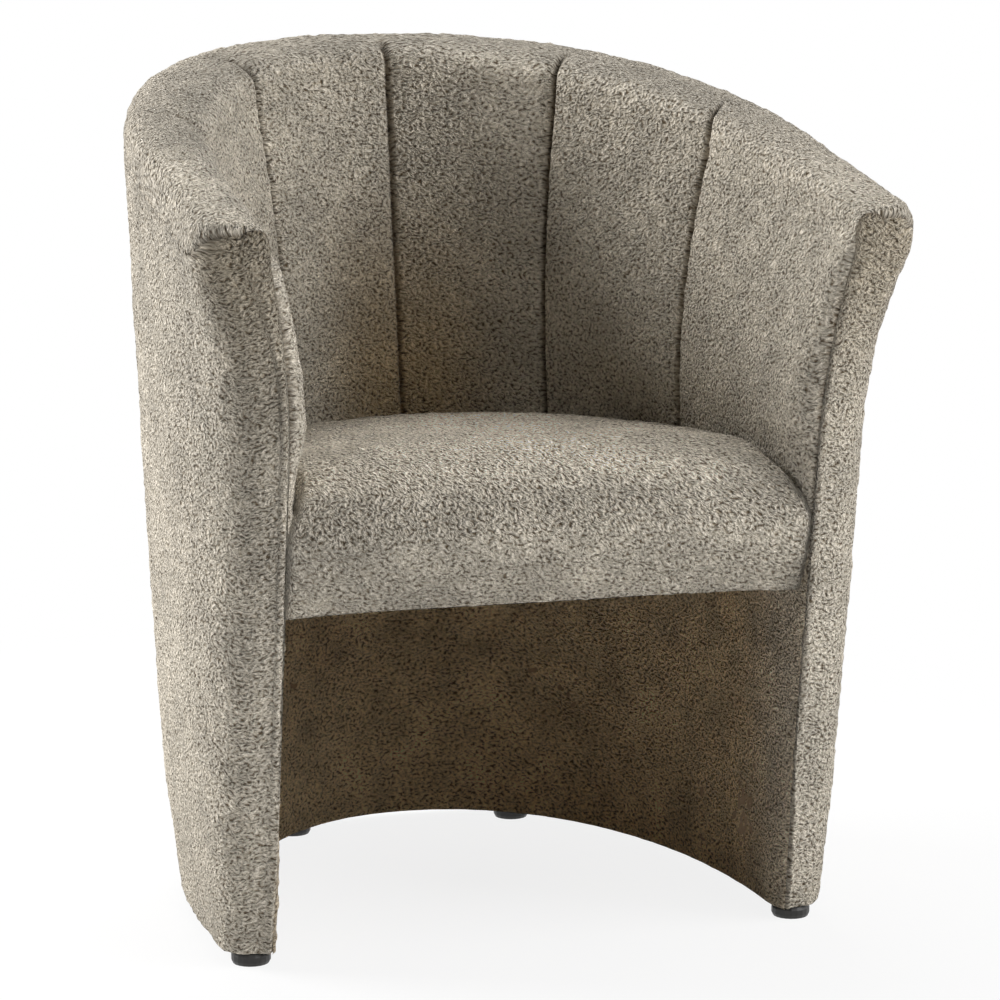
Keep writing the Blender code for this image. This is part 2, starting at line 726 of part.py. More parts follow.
def seat_outline(z, inset):
    """Closed plan of the seat at height z: a D that follows the wall, with a bowed front."""
    plan_z = min(max(z, WALL_SPLIT), LEAN_START)
    front = seat_front_y(z, inset)
    wall = [inner(j, plan_z, -(SEAT_FIT + inset)) for j in range(CORNER_STEPS + SIDE_STEPS, CENTRE + 1)]
    arm_front = -slope(BASE_FRONT, TOP_FRONT, plan_z)

    def side_x(y):
        share = (INNER_SIDE_END_Y - y) / (INNER_SIDE_END_Y - arm_front)
        return wall[0][0] + (SEAM_HALF_WIDTH - INNER_HALF_WIDTH) * share**LIP_POWER

    corner_y = front + SEAT_CORNER
    corner_x = side_x(corner_y)
    flat_end = corner_x - SEAT_CORNER
    half = [(flat_end * share, front - SEAT_BOW * (1 - share**2)) for share in (0.0, 0.5)]
    for t in SEAT_CORNER_SHARES:
        half.append((flat_end + SEAT_CORNER * t * (2 - t), front + SEAT_CORNER * t**2))
    for share in SEAT_FLARE_SHARES:
        y = corner_y + (INNER_SIDE_END_Y - corner_y) * share
        half.append((side_x(y), y))
    half += [(p[0], p[1]) for p in wall]
    left = [(-x, y) for x, y in reversed(half[1:-1])]
    return [(x, y, z) for x, y in half + left]


def seat_rings(depth, bottom):
    """The seat's surface as a stack of rings, depth below it, from the bottom edge to the crown."""
    rings = []
    for i in range(SEAT_LEVELS + 1):
        share = i / SEAT_LEVELS
        turn_in = max(0.0, share - SEAT_SIDE_SHARE) / (1 - SEAT_SIDE_SHARE)
        z = SEAT_BOTTOM + SEAT_DEPTH * share - depth * turn_in
        ring = np.array(seat_outline(z, depth + SEAT_EDGE_ROUND * turn_in**2))
        ring[:, 2] += max(0.0, 2 * share - 1) * seat_shift(ring[:, 1])
        rings.append(ring)
    while rings[1][0, 2] <= bottom:
        rings.pop(0)
    share = (bottom - rings[0][0, 2]) / (rings[1][0, 2] - rings[0][0, 2])
    rings[0] = rings[0] + (rings[1] - rings[0]) * share
    edge = rings[-1]
    middle = np.array([0.0, (edge[:, 1].min() + edge[:, 1].max()) / 2, 0.0])
    for share in CROWN_SHARES:
        shrunk = middle + (edge - middle) * np.array([share, share, 1])
        rise = SEAT_CROWN_RISE * (1 - share**3)
        shrunk[:, 2] = SEAT_EDGE - depth + rise + seat_shift(shrunk[:, 1])
        rings.append(shrunk)
    return rings


def build_seat_frame():
    """The seat's curved ring, front rail and corner blocks."""
    first = CORNER_STEPS + SIDE_STEPS
    heights = (SEAT_BOTTOM, RING_TOP)

    def edge(depth):
        def row(j):
            x, y, _ = inner(max(j, first), WALL_SPLIT, -depth)
            if j < first:
                y = RAIL_BACK_Y + GAP
            return [np.array([x, y, z]) for z in heights]

        return both_sides(first - 1, row)

    seat_ring = slab("seat_ring", edge(SEAT_SIDE), edge(SEAT_SIDE + SEAT_RING_WIDTH), WOOD)
    half_length = INNER_HALF_WIDTH - SEAT_SIDE
    rail = [
        (x, y, z)
        for x in (-half_length + SEAT_CORNER / 2, half_length - SEAT_CORNER / 2)
        for y, z in (
            (RAIL_FRONT_Y, SEAT_BOTTOM),
            (RAIL_BACK_Y, SEAT_BOTTOM),
            (RAIL_BACK_Y, RING_TOP),
            (RAIL_FRONT_Y, RING_TOP),
        )
    ]
    loft("seat_front_rail", [rail[:4], rail[4:]], WOOD)
    inside_x = half_length - SEAT_RING_WIDTH - GAP
    block_y = RAIL_BACK_Y + GAP
    for side, sign in (("right", 1), ("left", -1)):
        rings = [
            [
                (sign * inside_x, block_y, z),
                (sign * (inside_x - CORNER_BLOCK), block_y, z),
                (sign * inside_x, block_y + CORNER_BLOCK, z),
            ]
            for z in heights
        ]
        loft(f"seat_corner_block_{side}", rings, WOOD)
    return seat_ring


def spring_line(x, start_y, end_y):
    """Centre line of one wave spring, with a straight bar across at each end."""
    half_bar = SPRING_END_BAR / 2
    line = [(x + half_bar, start_y, SPRING_HEIGHT), (x - half_bar, start_y, SPRING_HEIGHT)]
    run = (end_y - start_y) / (SPRING_WAVES + 1)
    steps = SPRING_WAVES * WAVE_STEPS
    for i in range(steps + 1):
        turn = 2 * math.pi * SPRING_WAVES * i / steps
        y = start_y + run / 2 + (end_y - start_y - run) * i / steps
        across = -SPRING_SWING * math.cos(turn)
        line.append((x + across, y + SPRING_FOLD * math.sin(2 * turn), SPRING_HEIGHT))
    line += [(x - half_bar, end_y, SPRING_HEIGHT), (x + half_bar, end_y, SPRING_HEIGHT)]
    return line


def least_gap(line):
    """Least clear distance between stretches of a spring that aren't next to each other."""
    points = np.array(line)
    away = np.linalg.norm(points[:, None] - points[None], axis=2)
    order = np.abs(np.arange(len(points))[:, None] - np.arange(len(points))[None])
    return away[order > 3].min() - 2 * SPRING_WIRE


def wave_spring(name, line):
    """A bent wire along the line."""
    curve = bpy.data.curves.new(name, "CURVE")
    curve.dimensions = "3D"
    curve.bevel_depth = SPRING_WIRE
    curve.bevel_resolution = 1
    curve.use_fill_caps = True
    spline = curve.splines.new("POLY")
    spline.points.add(len(line) - 1)
    for point, place in zip(spline.points, line):
        point.co = (*place, 1.0)
    spring = bpy.data.objects.new(name, curve)
    spring.data.materials.append(STEEL)
    chair.objects.link(spring)


def spring_clip(name, x, y, facing):
    """A steel strip bent round a spring's end bar, open towards the spring."""
    inside = SPRING_WIRE + GAP
    outside = inside + CLIP_WALL
    turns = [math.pi / 2 + math.pi * i / CLIP_STEPS for i in range(CLIP_STEPS + 1)]
    lip = 2 * SPRING_WIRE
    section = [(facing * lip, -outside)]
    section += [(facing * outside * math.cos(a), -outside * math.sin(a)) for a in turns]
    section += [(facing * lip, outside), (facing * lip, inside)]
    section += [(facing * inside * math.cos(a), -inside * math.sin(a)) for a in reversed(turns)]
    section.append((facing * lip, -inside))
    rings = [
        [(end, y + across, SPRING_HEIGHT + up) for across, up in section]
        for end in (x - CLIP_LENGTH / 2, x + CLIP_LENGTH / 2)
    ]
    loft(name, rings, STEEL)


def wall_x(y, z):
    """Where the inside of the tub lies at a distance y from front to back."""
    points = inner_half(z)
    return float(np.interp(y, points[:, 1], points[:, 0]))


def wall_y(x, z):
    """Where the inside of the round back lies at a distance x from the middle."""
    points = inner_half(z)[CORNER_STEPS + SIDE_STEPS :]
    return float(np.interp(x, points[::-1, 0], points[::-1, 1]))


def build_springs():
    """Wave springs from the front rail to the back of the seat ring, each held by two clips."""
    start_y = (RAIL_FRONT_Y + RAIL_BACK_Y) / 2
    for i in range(SPRING_COUNT):
        x = (i - (SPRING_COUNT - 1) / 2) * SPRING_SPACING
        end_y = wall_y(abs(x) + SPRING_END_BAR / 2, WALL_SPLIT) - SEAT_SIDE - SEAT_RING_WIDTH / 2
        line = spring_line(x, start_y, end_y)
        print(f"seat_spring_{i + 1}: least gap to itself {least_gap(line) * 1000:.2f} mm")
        wave_spring(f"seat_spring_{i + 1}", line)
        spring_clip(f"spring_clip_front_{i + 1}", x, start_y, 1)
        spring_clip(f"spring_clip_back_{i + 1}", x, end_y, -1)


def build_cushion():
    """Felt on the springs, the crowned seat foam, its cover and the dust cover underneath."""
    loft(
        "spring_felt",
        [seat_outline(FELT_BOTTOM, FELT_INSET), seat_outline(FELT_BOTTOM + FELT, FELT_INSET)],
        FELT_GREY,
    )
    loft("seat_foam", seat_rings(COVER + GAP, FOAM_BOTTOM), FOAM)
    loft(
        "dust_cover",
        [
            [(x, y, z) for x, y, _ in seat_outline(SEAT_BOTTOM, COVER + GAP)]
            for z in (SEAT_BOTTOM - GAP - DUST_COVER, SEAT_BOTTOM - GAP)
        ],
        BLACK_CLOTH,
    )
    return cup("seat_cover", seat_rings(0.0, SEAT_BOTTOM), seat_rings(COVER, SEAT_BOTTOM), FABRIC)


def round_bar(name, rings, origin, axis):
    """A turned bar of steel: rings of radius and distance from the origin along X or Z."""
    loops = []
    for radius, along in rings:
        loop = []
        for k in range(BAR_SIDES):
            turn = 2 * math.pi * k / BAR_SIDES
            first, second = radius * math.cos(turn), radius * math.sin(turn)
            shift = (along, first, second) if axis == "X" else (first, second, along)
            loop.append(np.array(origin) + np.array(shift))
        loops.append(loop)
    return loft(name, loops, STEEL)


def build_bolts(targets):
    """Bolts from inside the seat ring through a spacer and the lining into the seat rib."""
    for row, y in zip(("front", "back"), BOLT_ROWS):
        for side, sign in (("right", 1), ("left", -1)):
            head_x = wall_x(y, WALL_SPLIT) - SEAT_SIDE - SEAT_RING_WIDTH
            tip_x = wall_x(y, BOLT_HEIGHT) + FRAME_LINING_DEPTH + BOLT_BITE
            name = f"seat_bolt_{row}_{side}"
            round_bar(
                name,
                [
                    (BOLT_HEAD_RADIUS, sign * (head_x - BOLT_HEAD)),
                    (BOLT_HEAD_RADIUS, sign * head_x),
                    (BOLT_RADIUS, sign * head_x),
                    (BOLT_RADIUS, sign * tip_x),
                ],
                (0.0, y, BOLT_HEIGHT),
                "X",
            )
            lining = []
            seat = []
            for edge_y in (y - SPACER / 2, y + SPACER / 2):
                lining_x = sign * (wall_x(edge_y, BOLT_HEIGHT) - GAP)
                seat_x = sign * (wall_x(edge_y, WALL_SPLIT) - SEAT_FIT + GAP)
                heights = (BOLT_HEIGHT - SPACER / 2, BOLT_HEIGHT + SPACER / 2)
                lining.append([np.array([lining_x, edge_y, z]) for z in heights])
                seat.append([np.array([seat_x, edge_y, z]) for z in heights])
            spacer = slab(f"seat_spacer_{row}_{side}", lining, seat, WOOD)
            hole = cylinder_cutter(
                f"{name}_hole",
                BOLT_RADIUS + HOLE_CLEARANCE,
                (sign * head_x, y, BOLT_HEIGHT),
                (sign * (tip_x + HOLE_CLEARANCE), y, BOLT_HEIGHT),
            )
            head_room = cylinder_cutter(
                f"{name}_head_room",
                BOLT_HEAD_RADIUS + HOLE_CLEARANCE,
                (sign * (head_x - SEAT_RING_WIDTH), y, BOLT_HEIGHT),
                (sign * (head_x + GAP), y, BOLT_HEIGHT),
            )
            for target in (spacer, *targets):
                cut(target, hole)
            cut(targets[0], head_room)


def build_glides(base, posts, strip):
    """Four turned glides, each with a screw through the bottom strip into a post or the base ring."""
    top = HEM_HEIGHT - GAP
    hole = SCREW_RADIUS + HOLE_CLEARANCE
    head_bottom = GLIDE_RECESS - GAP - SCREW_HEAD
    tip = BOARD_BOTTOM + SCREW_BITE
    for row, (x, y) in (("front", FRONT_GLIDE), ("back", BACK_GLIDE)):
        for side, sign in (("right", 1), ("left", -1)):
            turned(
                f"{row}_glide_{side}",
                [
                    (GLIDE_TOP_RADIUS, top),
                    (GLIDE_RADIUS, top - 2 * GLIDE_EDGE),
                    (GLIDE_RADIUS, 2 * GLIDE_EDGE),
                    (GLIDE_RADIUS - GLIDE_EDGE, 0.0),
                    (GLIDE_RECESS_RADIUS, 0.0),
                    (GLIDE_RECESS_RADIUS, GLIDE_RECESS),
                    (hole, GLIDE_RECESS),
                    (hole, top),
                ],
                BLACK_PLASTIC,
                sign * x,
                y,
            )
            round_bar(
                f"{row}_glide_screw_{side}",
                [
                    (SCREW_HEAD_RADIUS, head_bottom),
                    (SCREW_HEAD_RADIUS, GLIDE_RECESS - GAP),
                    (SCREW_RADIUS, GLIDE_RECESS - GAP),
                    (SCREW_RADIUS, tip),
                ],
                (sign * x, y, 0.0),
                "Z",
            )
            pilot = cylinder_cutter(
                f"{row}_glide_{side}_pilot",
                hole,
                (sign * x, y, 0.0),
                (sign * x, y, tip + HOLE_CLEARANCE),
            )
            cut(posts[side] if row == "front" else base, pilot)
            cut(strip, pilot)


def build_chair():
    """Puts the whole chair together."""
    lining_cover = build_covers()
    build_padding()
    lining_panel = build_panels()
    posts = build_posts()
    base, rib = build_frame()
    strip = build_bottom_strip()
    seat_ring = build_seat_frame()
    build_springs()
    seat_cover = build_cushion()
    build_bolts((seat_ring, seat_cover, lining_cover, lining_panel, rib))
    build_glides(base, posts, strip)


build_chair()
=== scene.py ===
"""A club armchair in warm grey loop fabric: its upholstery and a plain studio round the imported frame."""

import itertools
import json
import math

import bpy
import numpy as np
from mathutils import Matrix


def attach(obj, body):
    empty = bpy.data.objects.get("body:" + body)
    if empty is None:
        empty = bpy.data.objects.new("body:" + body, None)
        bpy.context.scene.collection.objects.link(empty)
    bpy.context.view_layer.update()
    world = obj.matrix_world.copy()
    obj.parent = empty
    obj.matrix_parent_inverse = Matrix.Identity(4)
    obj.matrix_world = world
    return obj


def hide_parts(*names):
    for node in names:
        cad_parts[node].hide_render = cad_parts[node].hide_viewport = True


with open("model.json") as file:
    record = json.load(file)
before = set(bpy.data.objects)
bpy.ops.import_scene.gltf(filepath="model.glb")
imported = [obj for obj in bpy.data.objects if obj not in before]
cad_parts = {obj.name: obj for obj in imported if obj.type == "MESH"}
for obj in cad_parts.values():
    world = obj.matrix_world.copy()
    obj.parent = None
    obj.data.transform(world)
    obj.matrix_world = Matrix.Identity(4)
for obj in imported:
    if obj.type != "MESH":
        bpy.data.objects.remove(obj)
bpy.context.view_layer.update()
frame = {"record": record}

# The tub's outside, in metres as in the frame
HEIGHT = 0.768
ARM_HEIGHT = 0.647
SIDE_HEIGHTS = (0, 0.120, 0.440, HEIGHT)
SIDE_HALF_WIDTHS = (0.2735, 0.2895, 0.3055, 0.318)
SIDE_BLUR = 0.02
SIDE_BLUR_SAMPLES = 9
BASE_FRONT = 0.218
TOP_FRONT = 0.3415
BASE_BACK = 0.255
TOP_BACK = 0.318
SIDE_END_Y = -0.148
BACK_SQUARENESS = 2.5
FRONT_BASE_HALF_WIDTH = 0.279
FRONT_HALF_WIDTH = 0.2725
FRONT_FLARE = 0.043
FLARE_START = 0.440
FRONT_ROUND = 0.036
LEAST_FLAT = 0.0083
HEM_HEIGHT = 0.011

# The roll on the rim, the share of its height at the nose over the arm front, and how far up its outer
# leg the joint with the arm front lies
ROLL_HEIGHT = 0.034
ROLL_SQUARENESS = 3.2
ROLL_SKEW = -0.05
NOSE_SHARE = 0.88
LEG_SHARE = 0.8
FRONT_ROLL_BASE = ARM_HEIGHT - ROLL_HEIGHT
BACK_ROLL_BASE = HEIGHT - ROLL_HEIGHT

# The tub's inside: above the seat, and the lining below it. Seams are given as places round the wall.
SEAM_HALF_WIDTH = 0.233
SEAM_FLARE = 0.020
INNER_HALF_WIDTH = 0.2155
INNER_FLARE = 0.040
INNER_SIDE_END_Y = -0.170
INNER_SQUARENESS = 2.1
LIP_POWER = 4
INNER_SEAT_BACK = 0.202
INNER_TOP_BACK = 0.258
LEAN_START = 0.410
WALL_SPLIT = 0.340
LINING_HALF_WIDTH = 0.2275
LINING_BACK = 0.216
BACK_CENTRE = 3.0
BACK_SEAMS = (2.25, 2.625, BACK_CENTRE)

# The seat
SEAT_BOTTOM = 0.308
SEAT_DEPTH = 0.117
SEAT_EDGE = SEAT_BOTTOM + SEAT_DEPTH
SEAT_FLOOR = 0.3415
SEAT_FOLD = 0.001
SEAT_CROWN_RISE = 0.010
SEAT_CROWN_POWER = 3
SEAT_FRONT = 0.236
SEAT_BULGE = 0.043
SEAT_SWELL_TURN = math.radians(130)
SEAT_END_FILL = 0.018
SEAT_END_POWER = 4
SEAT_TILT = 0.065
SEAT_ROLL_START = -0.175
SEAT_ROLL_RADIUS = 0.150
SEAT_BOW = 0.006
SEAT_CORNER = 0.006
SEAT_EDGE_ROUND = 0.010
SEAT_SIDE_SHARE = 0.6
SEAT_FIT = 0.0004
SEAT_PRESS = 0.0035
SEAT_LIP_HEIGHTS = (SEAT_BOTTOM, WALL_SPLIT + 0.005, SEAT_EDGE - 0.020, SEAT_EDGE)
SEAT_LIP_POWERS = (0.35, 0.7, 1.5, 3.5)

# Swell of the sewn panels, of the lips along the arms and of the arm fronts. Pairs are where a rise
# starts and where it is full: heights, or drops below the roll.
PILLOW = 0.005
PILLOW_POWER = 3
PILLOW_HEIGHTS = (0.42, 0.48)
PILLOW_ON_ROLL = 0.25
PILLOW_ROLL_POWER = 4
LIP_SWELL = 0.009
LIP_TOP = 0.012
LIP_END = 0.075
LIP_HEIGHTS = (0.42, 0.48)
LIP_DROPS = (-0.014, 0.010)
FACING_SWELL = 0.002
FACING_SWELL_RISE = 0.03

# Depths and widths of seams, of the ridge beside them and of cloth turned in at edges
SEAM_DEPTH = 0.0055
SEAM_WIDTH = 0.0022
SEAM_DIP = 0.0020
SEAM_DIP_WIDTH = 0.008
SEAM_ROLL_SHARES = (0.45, 0.85)
RIDGE = 0.0022
RIDGE_PLACE = 0.0050
RIDGE_WIDTH = 0.0022
RIDGE_DROPS = (0.004, 0.020)
FACING_DEPTH = 0.0035
ARCH_DEPTH = 0.0022
ARCH_PLACES = (0.2, 1.1)
EDGE_DEPTH = 0.0022
EDGE_WIDTH = 0.003
HEM_ROUND = 0.004
HEM_TURN = 0.98
LINING_EDGE_SHARE = 0.4
LINING_HEM_SHARE = 0.5

# Thickness of padding and cloth, and the places round the wall where the padding changes
OUTER_PADDING = 0.0075
INNER_PADDING = 0.020
LIP_PADDING = 0.004
PADDING_PLACES = (0, 1, 1.5)
LINING_CLOTH = 0.002
SEAT_CLOTH = 0.0018
BLACK_CLOTH = 0.0006

# Black cloth under the seat, and the strip of it under the wall
DUST_INSET = 0.014
DUST_DROP = 0.0007
DUST_SAG = 0.0014
DUST_WAVES = (0.0003, 0.05)
STRIP_INSET = 0.0075
STRIP_SHARES = (0.16, 0.94)
STRIP_RISE = 0.0012
STRIP_WAVES = (0.0004, 0.04)

# Height and length of the waves that make the cloth's loops and the padding uneven, and the factors and
# shifts that mix their random numbers
UNEVEN = ((0.00095, 0.0068), (0.00060, 0.0042), (0.0009, 0.075), (0.0005, 0.032))
HASH_FACTORS = (0x8DA6B343, 0xD8163841, 0xCB1AB31F)
HASH_MIXES = ((13, 0x5BD1E995), (15, 0x27D4EB2D))
HASH_LAST_SHIFT = 16

# Spacing and counts of mesh points, rounds of smoothing and settling, and every how many points are kept
# for the strip and for the faces behind the padding
SPACING = 0.0027
OUTER_SPACING = 0.0040
LINING_SPACING = 0.0032
FINE_SPACING = 0.0010
FINE_ROWS = 0.0012
FINE_REACH = 0.006
SPREAD_STEPS = 4001
OUTSIDE_LENGTH = 0.66
INSIDE_LENGTH = 0.47
PROBE_HEIGHT = 0.55
PROBE_POINTS = 3001
SETTLE_ROUNDS = 12
OUTSIDE_ROWS = 240
ROLL_ROWS = 61
INSIDE_ROWS = 150
EASING = 6
FACING_COLUMNS = 10
SEAT_FRONT_POINTS = 76
SEAT_CORNER_POINTS = 10
SEAT_SIDE_POINTS = 40
SEAT_SIDE_ROWS = 50
SEAT_TOP_ROWS = 84
SEAT_LAST_RING = 0.02
SEAT_CLOTH_TURN = 0.6
DUST_ROWS = 41
STRIP_ROWS = 8
STRIP_PICK = 3
BACK_PICK = 10
TINY = 1e-12

# Painted light and shade, as what the cloth's colour is multiplied by: painted shade in recesses and in sewn
# grooves, a painted shadow at the top of the arm fronts under the roll's nose, and painted light and shade up
# the outside, darker at the hem, lightest low down and darkest at the top
RECESS_PAINTED_SHADE = (0.96, 0.80, 0.57)
GROOVE_PAINTED_SHADE = (0.36, 0.32, 0.27)
GROOVE_WIDTH = 0.003
SEAM_GROOVE = 0.9
ARCH_GROOVE = 0.6
FACING_PAINTED_SHADOW = (0.66, 0.63, 0.575)
FACING_SHADOW_REACH = 0.16
FACING_TURN_PLACES = (0.3, 1.0)
# Painted light and shade up the outside: darker at the hem, lightest low down and darkest at the top
OUTER_SHADE_HEIGHTS = (0.0, 0.15, 0.40, 0.62)
OUTER_SHADES = (0.88, 1.05, 0.95, 0.82)

# Painted shade on the inside: in the valley beside the arm seam, along the joint over the arm front, at the
# back's low middle, which is weaker on the left, over the crest of the rim and along the roll's outer edge
VALLEY = 0.7
VALLEY_DROPS = (0.01, 0.06)
JOINT_LINE = 0.8
JOINT_LINE_WIDTH = 0.0035
LOW_SHADE = 0.22
LOW_HEIGHTS = (0.42, 0.66)
LOW_PLACES = (2.65, 2.95)
LOW_LEFT_SHARE = 0.4
LOW_LEFT_X = (-0.17, -0.03)
CREST_SHADE = 0.30
CREST_RISE = (0.1, 0.4)
CREST_FALL = (0.8, 1.0)
CREST_PLACES = (1.8, 2.3)
ROLL_EDGE = (0.0, 0.4)

# Tones of the lining, with painted shade under the seat that is weaker at the front, and of the seat: painted
# light and sheen on top, painted shade low on the left
LINING_BRIGHT = 1.12
LINING_PATCHES = 0.22
LINING_PATCH_SIZE = 0.022
LINING_FRONT_RECESS = 0.3
LINING_RECESS_Y = (-0.25, -0.10)
TOP_PAINTED_LIGHT = 0.47
TOP_LIGHT_LEAST = 0.25
TOP_LIGHT_X = 0.02
TOP_LIGHT_HALF_WIDTH = 0.11
TOP_LIGHT_HEIGHTS = (SEAT_EDGE - 0.025, SEAT_EDGE + 0.005)
SEAT_SHADE = 0.2
SEAT_SHADE_LEFT = (0.06, 0.20)
SEAT_SHADE_HEIGHTS = (0.39, SEAT_EDGE)

# The loop fabric: strands for each metre along and across them, their directions with the scale of the
# patches that have each, and colours from the gaps between strands up to their tops, which are partly painted
# shade in the gaps and a painted highlight on the tops
STRAND_ALONG = 270
STRAND_ACROSS = 400
STRAND_DETAIL = 1.8
STRAND_TURNS = ((0.1, 0.0), (0.8, 34.0), (-0.7, 27.0))
PATCH_EDGES = (0.47, 0.56)
WOBBLE = 0.006
WOBBLE_SCALE = 90.0
FABRIC_STOPS = (
    (0.30, (0.17, 0.125, 0.075)),
    (0.40, (0.52, 0.455, 0.355)),
    (0.50, (0.69, 0.62, 0.51)),
    (0.61, (0.94, 0.855, 0.72)),
)
TONE_SCALE = 18.0
TONE_DETAIL = 3.0
TONE_LEAST = 0.6
TONE_SPREAD = 0.8
FABRIC_BUMP = 0.0115
FABRIC_SHADER = {
    "Roughness": 0.95,
    "Specular IOR Level": 0.15,
    "Sheen Weight": 0.18,
    "Sheen Roughness": 0.45,
    "Sheen Tint": (0.95, 0.92, 0.86, 1.0),
}

# Plain finishes: where the noise has their two colours, and how much roughness and height it gives
FINISH_STOPS = (0.3, 0.7)
FINISH_DETAIL = 4.0
ROUGHNESS_SPREAD = 0.2
FINISH_BUMP = 0.0002
FINISH_BUMP_STRENGTH = 0.4

# The studio: a floor, lamps with their azimuth, elevation and power, and the camera
FLOOR_REACH = 40
FLOOR_GAP = 0.0002
FLOOR_COLOUR = (0.9, 0.9, 0.9, 1.0)
WHITE = (1.0, 1.0, 1.0, 1.0)
SHADOW_SHARE = 0.18
SHADOW_REACH = 1.2
LAMP_SIZE = 1.6
LAMP_DISTANCE = 2.8
LAMP_AIM = 0.4
LAMPS = {
    "left_box": (-120, 25, 106),
    "right_box": (60, 25, 48),
    "front_box": (30, 25, 21),
    "back_box": (180, 60, 40),
}
SENSOR_WIDTH = 36.0
LENS = 131.72
CAMERA_PLACE = (-0.933, -3.170, 0.926)
CAMERA_DROP = math.radians(9.7409)
CAMERA_TURN = math.radians(-16.9956)


def random_lattice(cells):
    """A fixed random number from 0 to 1 for each cell of a cubic lattice."""
    keys = cells.astype(np.int64).astype(np.uint32)
    mixed = np.zeros(cells.shape[:-1], dtype=np.uint32)
    for axis, factor in enumerate(HASH_FACTORS):
        mixed = mixed ^ keys[..., axis] * np.uint32(factor)
    for shift, factor in HASH_MIXES:
        mixed = (mixed ^ (mixed >> np.uint32(shift))) * np.uint32(factor)
    return (mixed ^ (mixed >> np.uint32(HASH_LAST_SHIFT))) / 2.0**32


def value_noise(points, wave):
    """Smooth noise from -1 to 1 in space, with hills about a wave apart."""
    cells = np.floor(points / wave)
    share = step_up(points / wave - cells, 0, 1)
    total = np.zeros(points.shape[:-1])
    for corner in itertools.product((0, 1), repeat=3):
        weight = np.prod(np.where(corner, share, 1 - share), axis=-1)
        total += weight * random_lattice(cells + np.array(corner))
    return 2 * total - 1


def unevenness(points):
    """Height of the cloth's uneven loops and of the padding's slow waves."""
    return sum(height * value_noise(points, wave) for height, wave in UNEVEN)


def step_up(value, low, high):
    """A smooth rise from 0 to 1 between two values."""
    t = np.clip((value - low) / (high - low), 0, 1)
    return t * t * (3 - 2 * t)


def bell(distance, width):
    """A hump that is 1 at distance 0 and fades within about twice the width."""
    return np.exp(-((distance / width) ** 2))


def edge_dip(distance, depth=EDGE_DEPTH, width=EDGE_WIDTH):
    """How far cloth turns in towards a seam or edge, at a distance from it."""
    return depth * bell(distance, width)


def hem_dip(up):
    """How far cloth turns in round a lower edge, at a distance above it."""
    under = np.clip(1 - up / HEM_ROUND, 0, 1)
    return HEM_ROUND * (1 - np.sqrt(1 - under**2)) * HEM_TURN


def spread(length, spacing, fine_at, fine=FINE_SPACING):
    """Positions along a length, closer together near the given places."""
    s = np.linspace(0, length, SPREAD_STEPS)
    density = np.full_like(s, 1 / spacing)
    for place in fine_at:
        density += (1 / fine - 1 / spacing) * bell(s - place, FINE_REACH)
    counted = np.concatenate([[0], np.cumsum((density[1:] + density[:-1]) / 2 * np.diff(s))])
    return np.interp(np.linspace(0, counted[-1], math.ceil(counted[-1]) + 1), counted, s)


def slope(base, top, z):
    """A size that changes evenly from the floor to the full height."""
    return base + (top - base) * z / HEIGHT


def flare(z, top):
    """Share of the outward flare reached at height z, where it is full at height top."""
    return np.clip((z - FLARE_START) / (top - FLARE_START), 0, 1) ** 2


def oval(width, start, end, squareness, share):
    """Points on a quarter of a squared oval, from the side to the back centre."""
    turn = share * math.pi / 2
    power = 2 / squareness
    across = width * np.maximum(0, np.cos(turn)) ** power
    return across, start + (end - start) * np.sin(turn) ** power


def side_half_width(z):
    """Half of the tub's width at height z: straight runs between heights, with their corners eased."""
    shifts = np.linspace(-SIDE_BLUR, SIDE_BLUR, SIDE_BLUR_SAMPLES)
    return np.mean([np.interp(z + d, SIDE_HEIGHTS, SIDE_HALF_WIDTHS) for d in shifts], axis=0)


def outer_wall(place, z):
    """Right half of the outside at height z. Place runs -1 to 0 over the arm front, to 1 round its
    corner, to 2 along the side and to 3 at the back centre."""
    front = -slope(BASE_FRONT, TOP_FRONT, z)
    back = slope(BASE_BACK, TOP_BACK, z)
    side = side_half_width(z)
    corner = np.interp(z, (0, FLARE_START), (FRONT_BASE_HALF_WIDTH, FRONT_HALF_WIDTH))
    corner = corner + FRONT_FLARE * flare(z, FRONT_ROLL_BASE)
    seam = SEAM_HALF_WIDTH + SEAM_FLARE * flare(z, FRONT_ROLL_BASE)
    flat_end = np.maximum(corner - FRONT_ROUND, seam + LEAST_FLAT)
    corner_end = front + FRONT_ROUND

    def side_x(y):
        return side + (corner - side) * np.maximum(0, (SIDE_END_Y - y) / (SIDE_END_Y - front)) ** 2

    t = np.clip(place + 1, 0, 1)
    x, y = seam + (flat_end - seam) * t, front + 0 * t
    t = np.clip(place, 0, 1)
    turn_x = flat_end * (1 - t) ** 2 + corner * 2 * t * (1 - t) + side_x(corner_end) * t**2
    x, y = np.where(place > 0, turn_x, x), np.where(place > 0, front + FRONT_ROUND * t**2, y)
    t = np.clip(place - 1, 0, 1)
    run_y = corner_end + (SIDE_END_Y - corner_end) * t
    x, y = np.where(place > 1, side_x(run_y), x), np.where(place > 1, run_y, y)
    back_x, back_y = oval(side, SIDE_END_Y, back, BACK_SQUARENESS, np.clip(place - 2, 0, 1))
    x, y = np.where(place > 2, back_x, x), np.where(place > 2, back_y, y)
    return np.stack(np.broadcast_arrays(x, y, z), axis=-1)


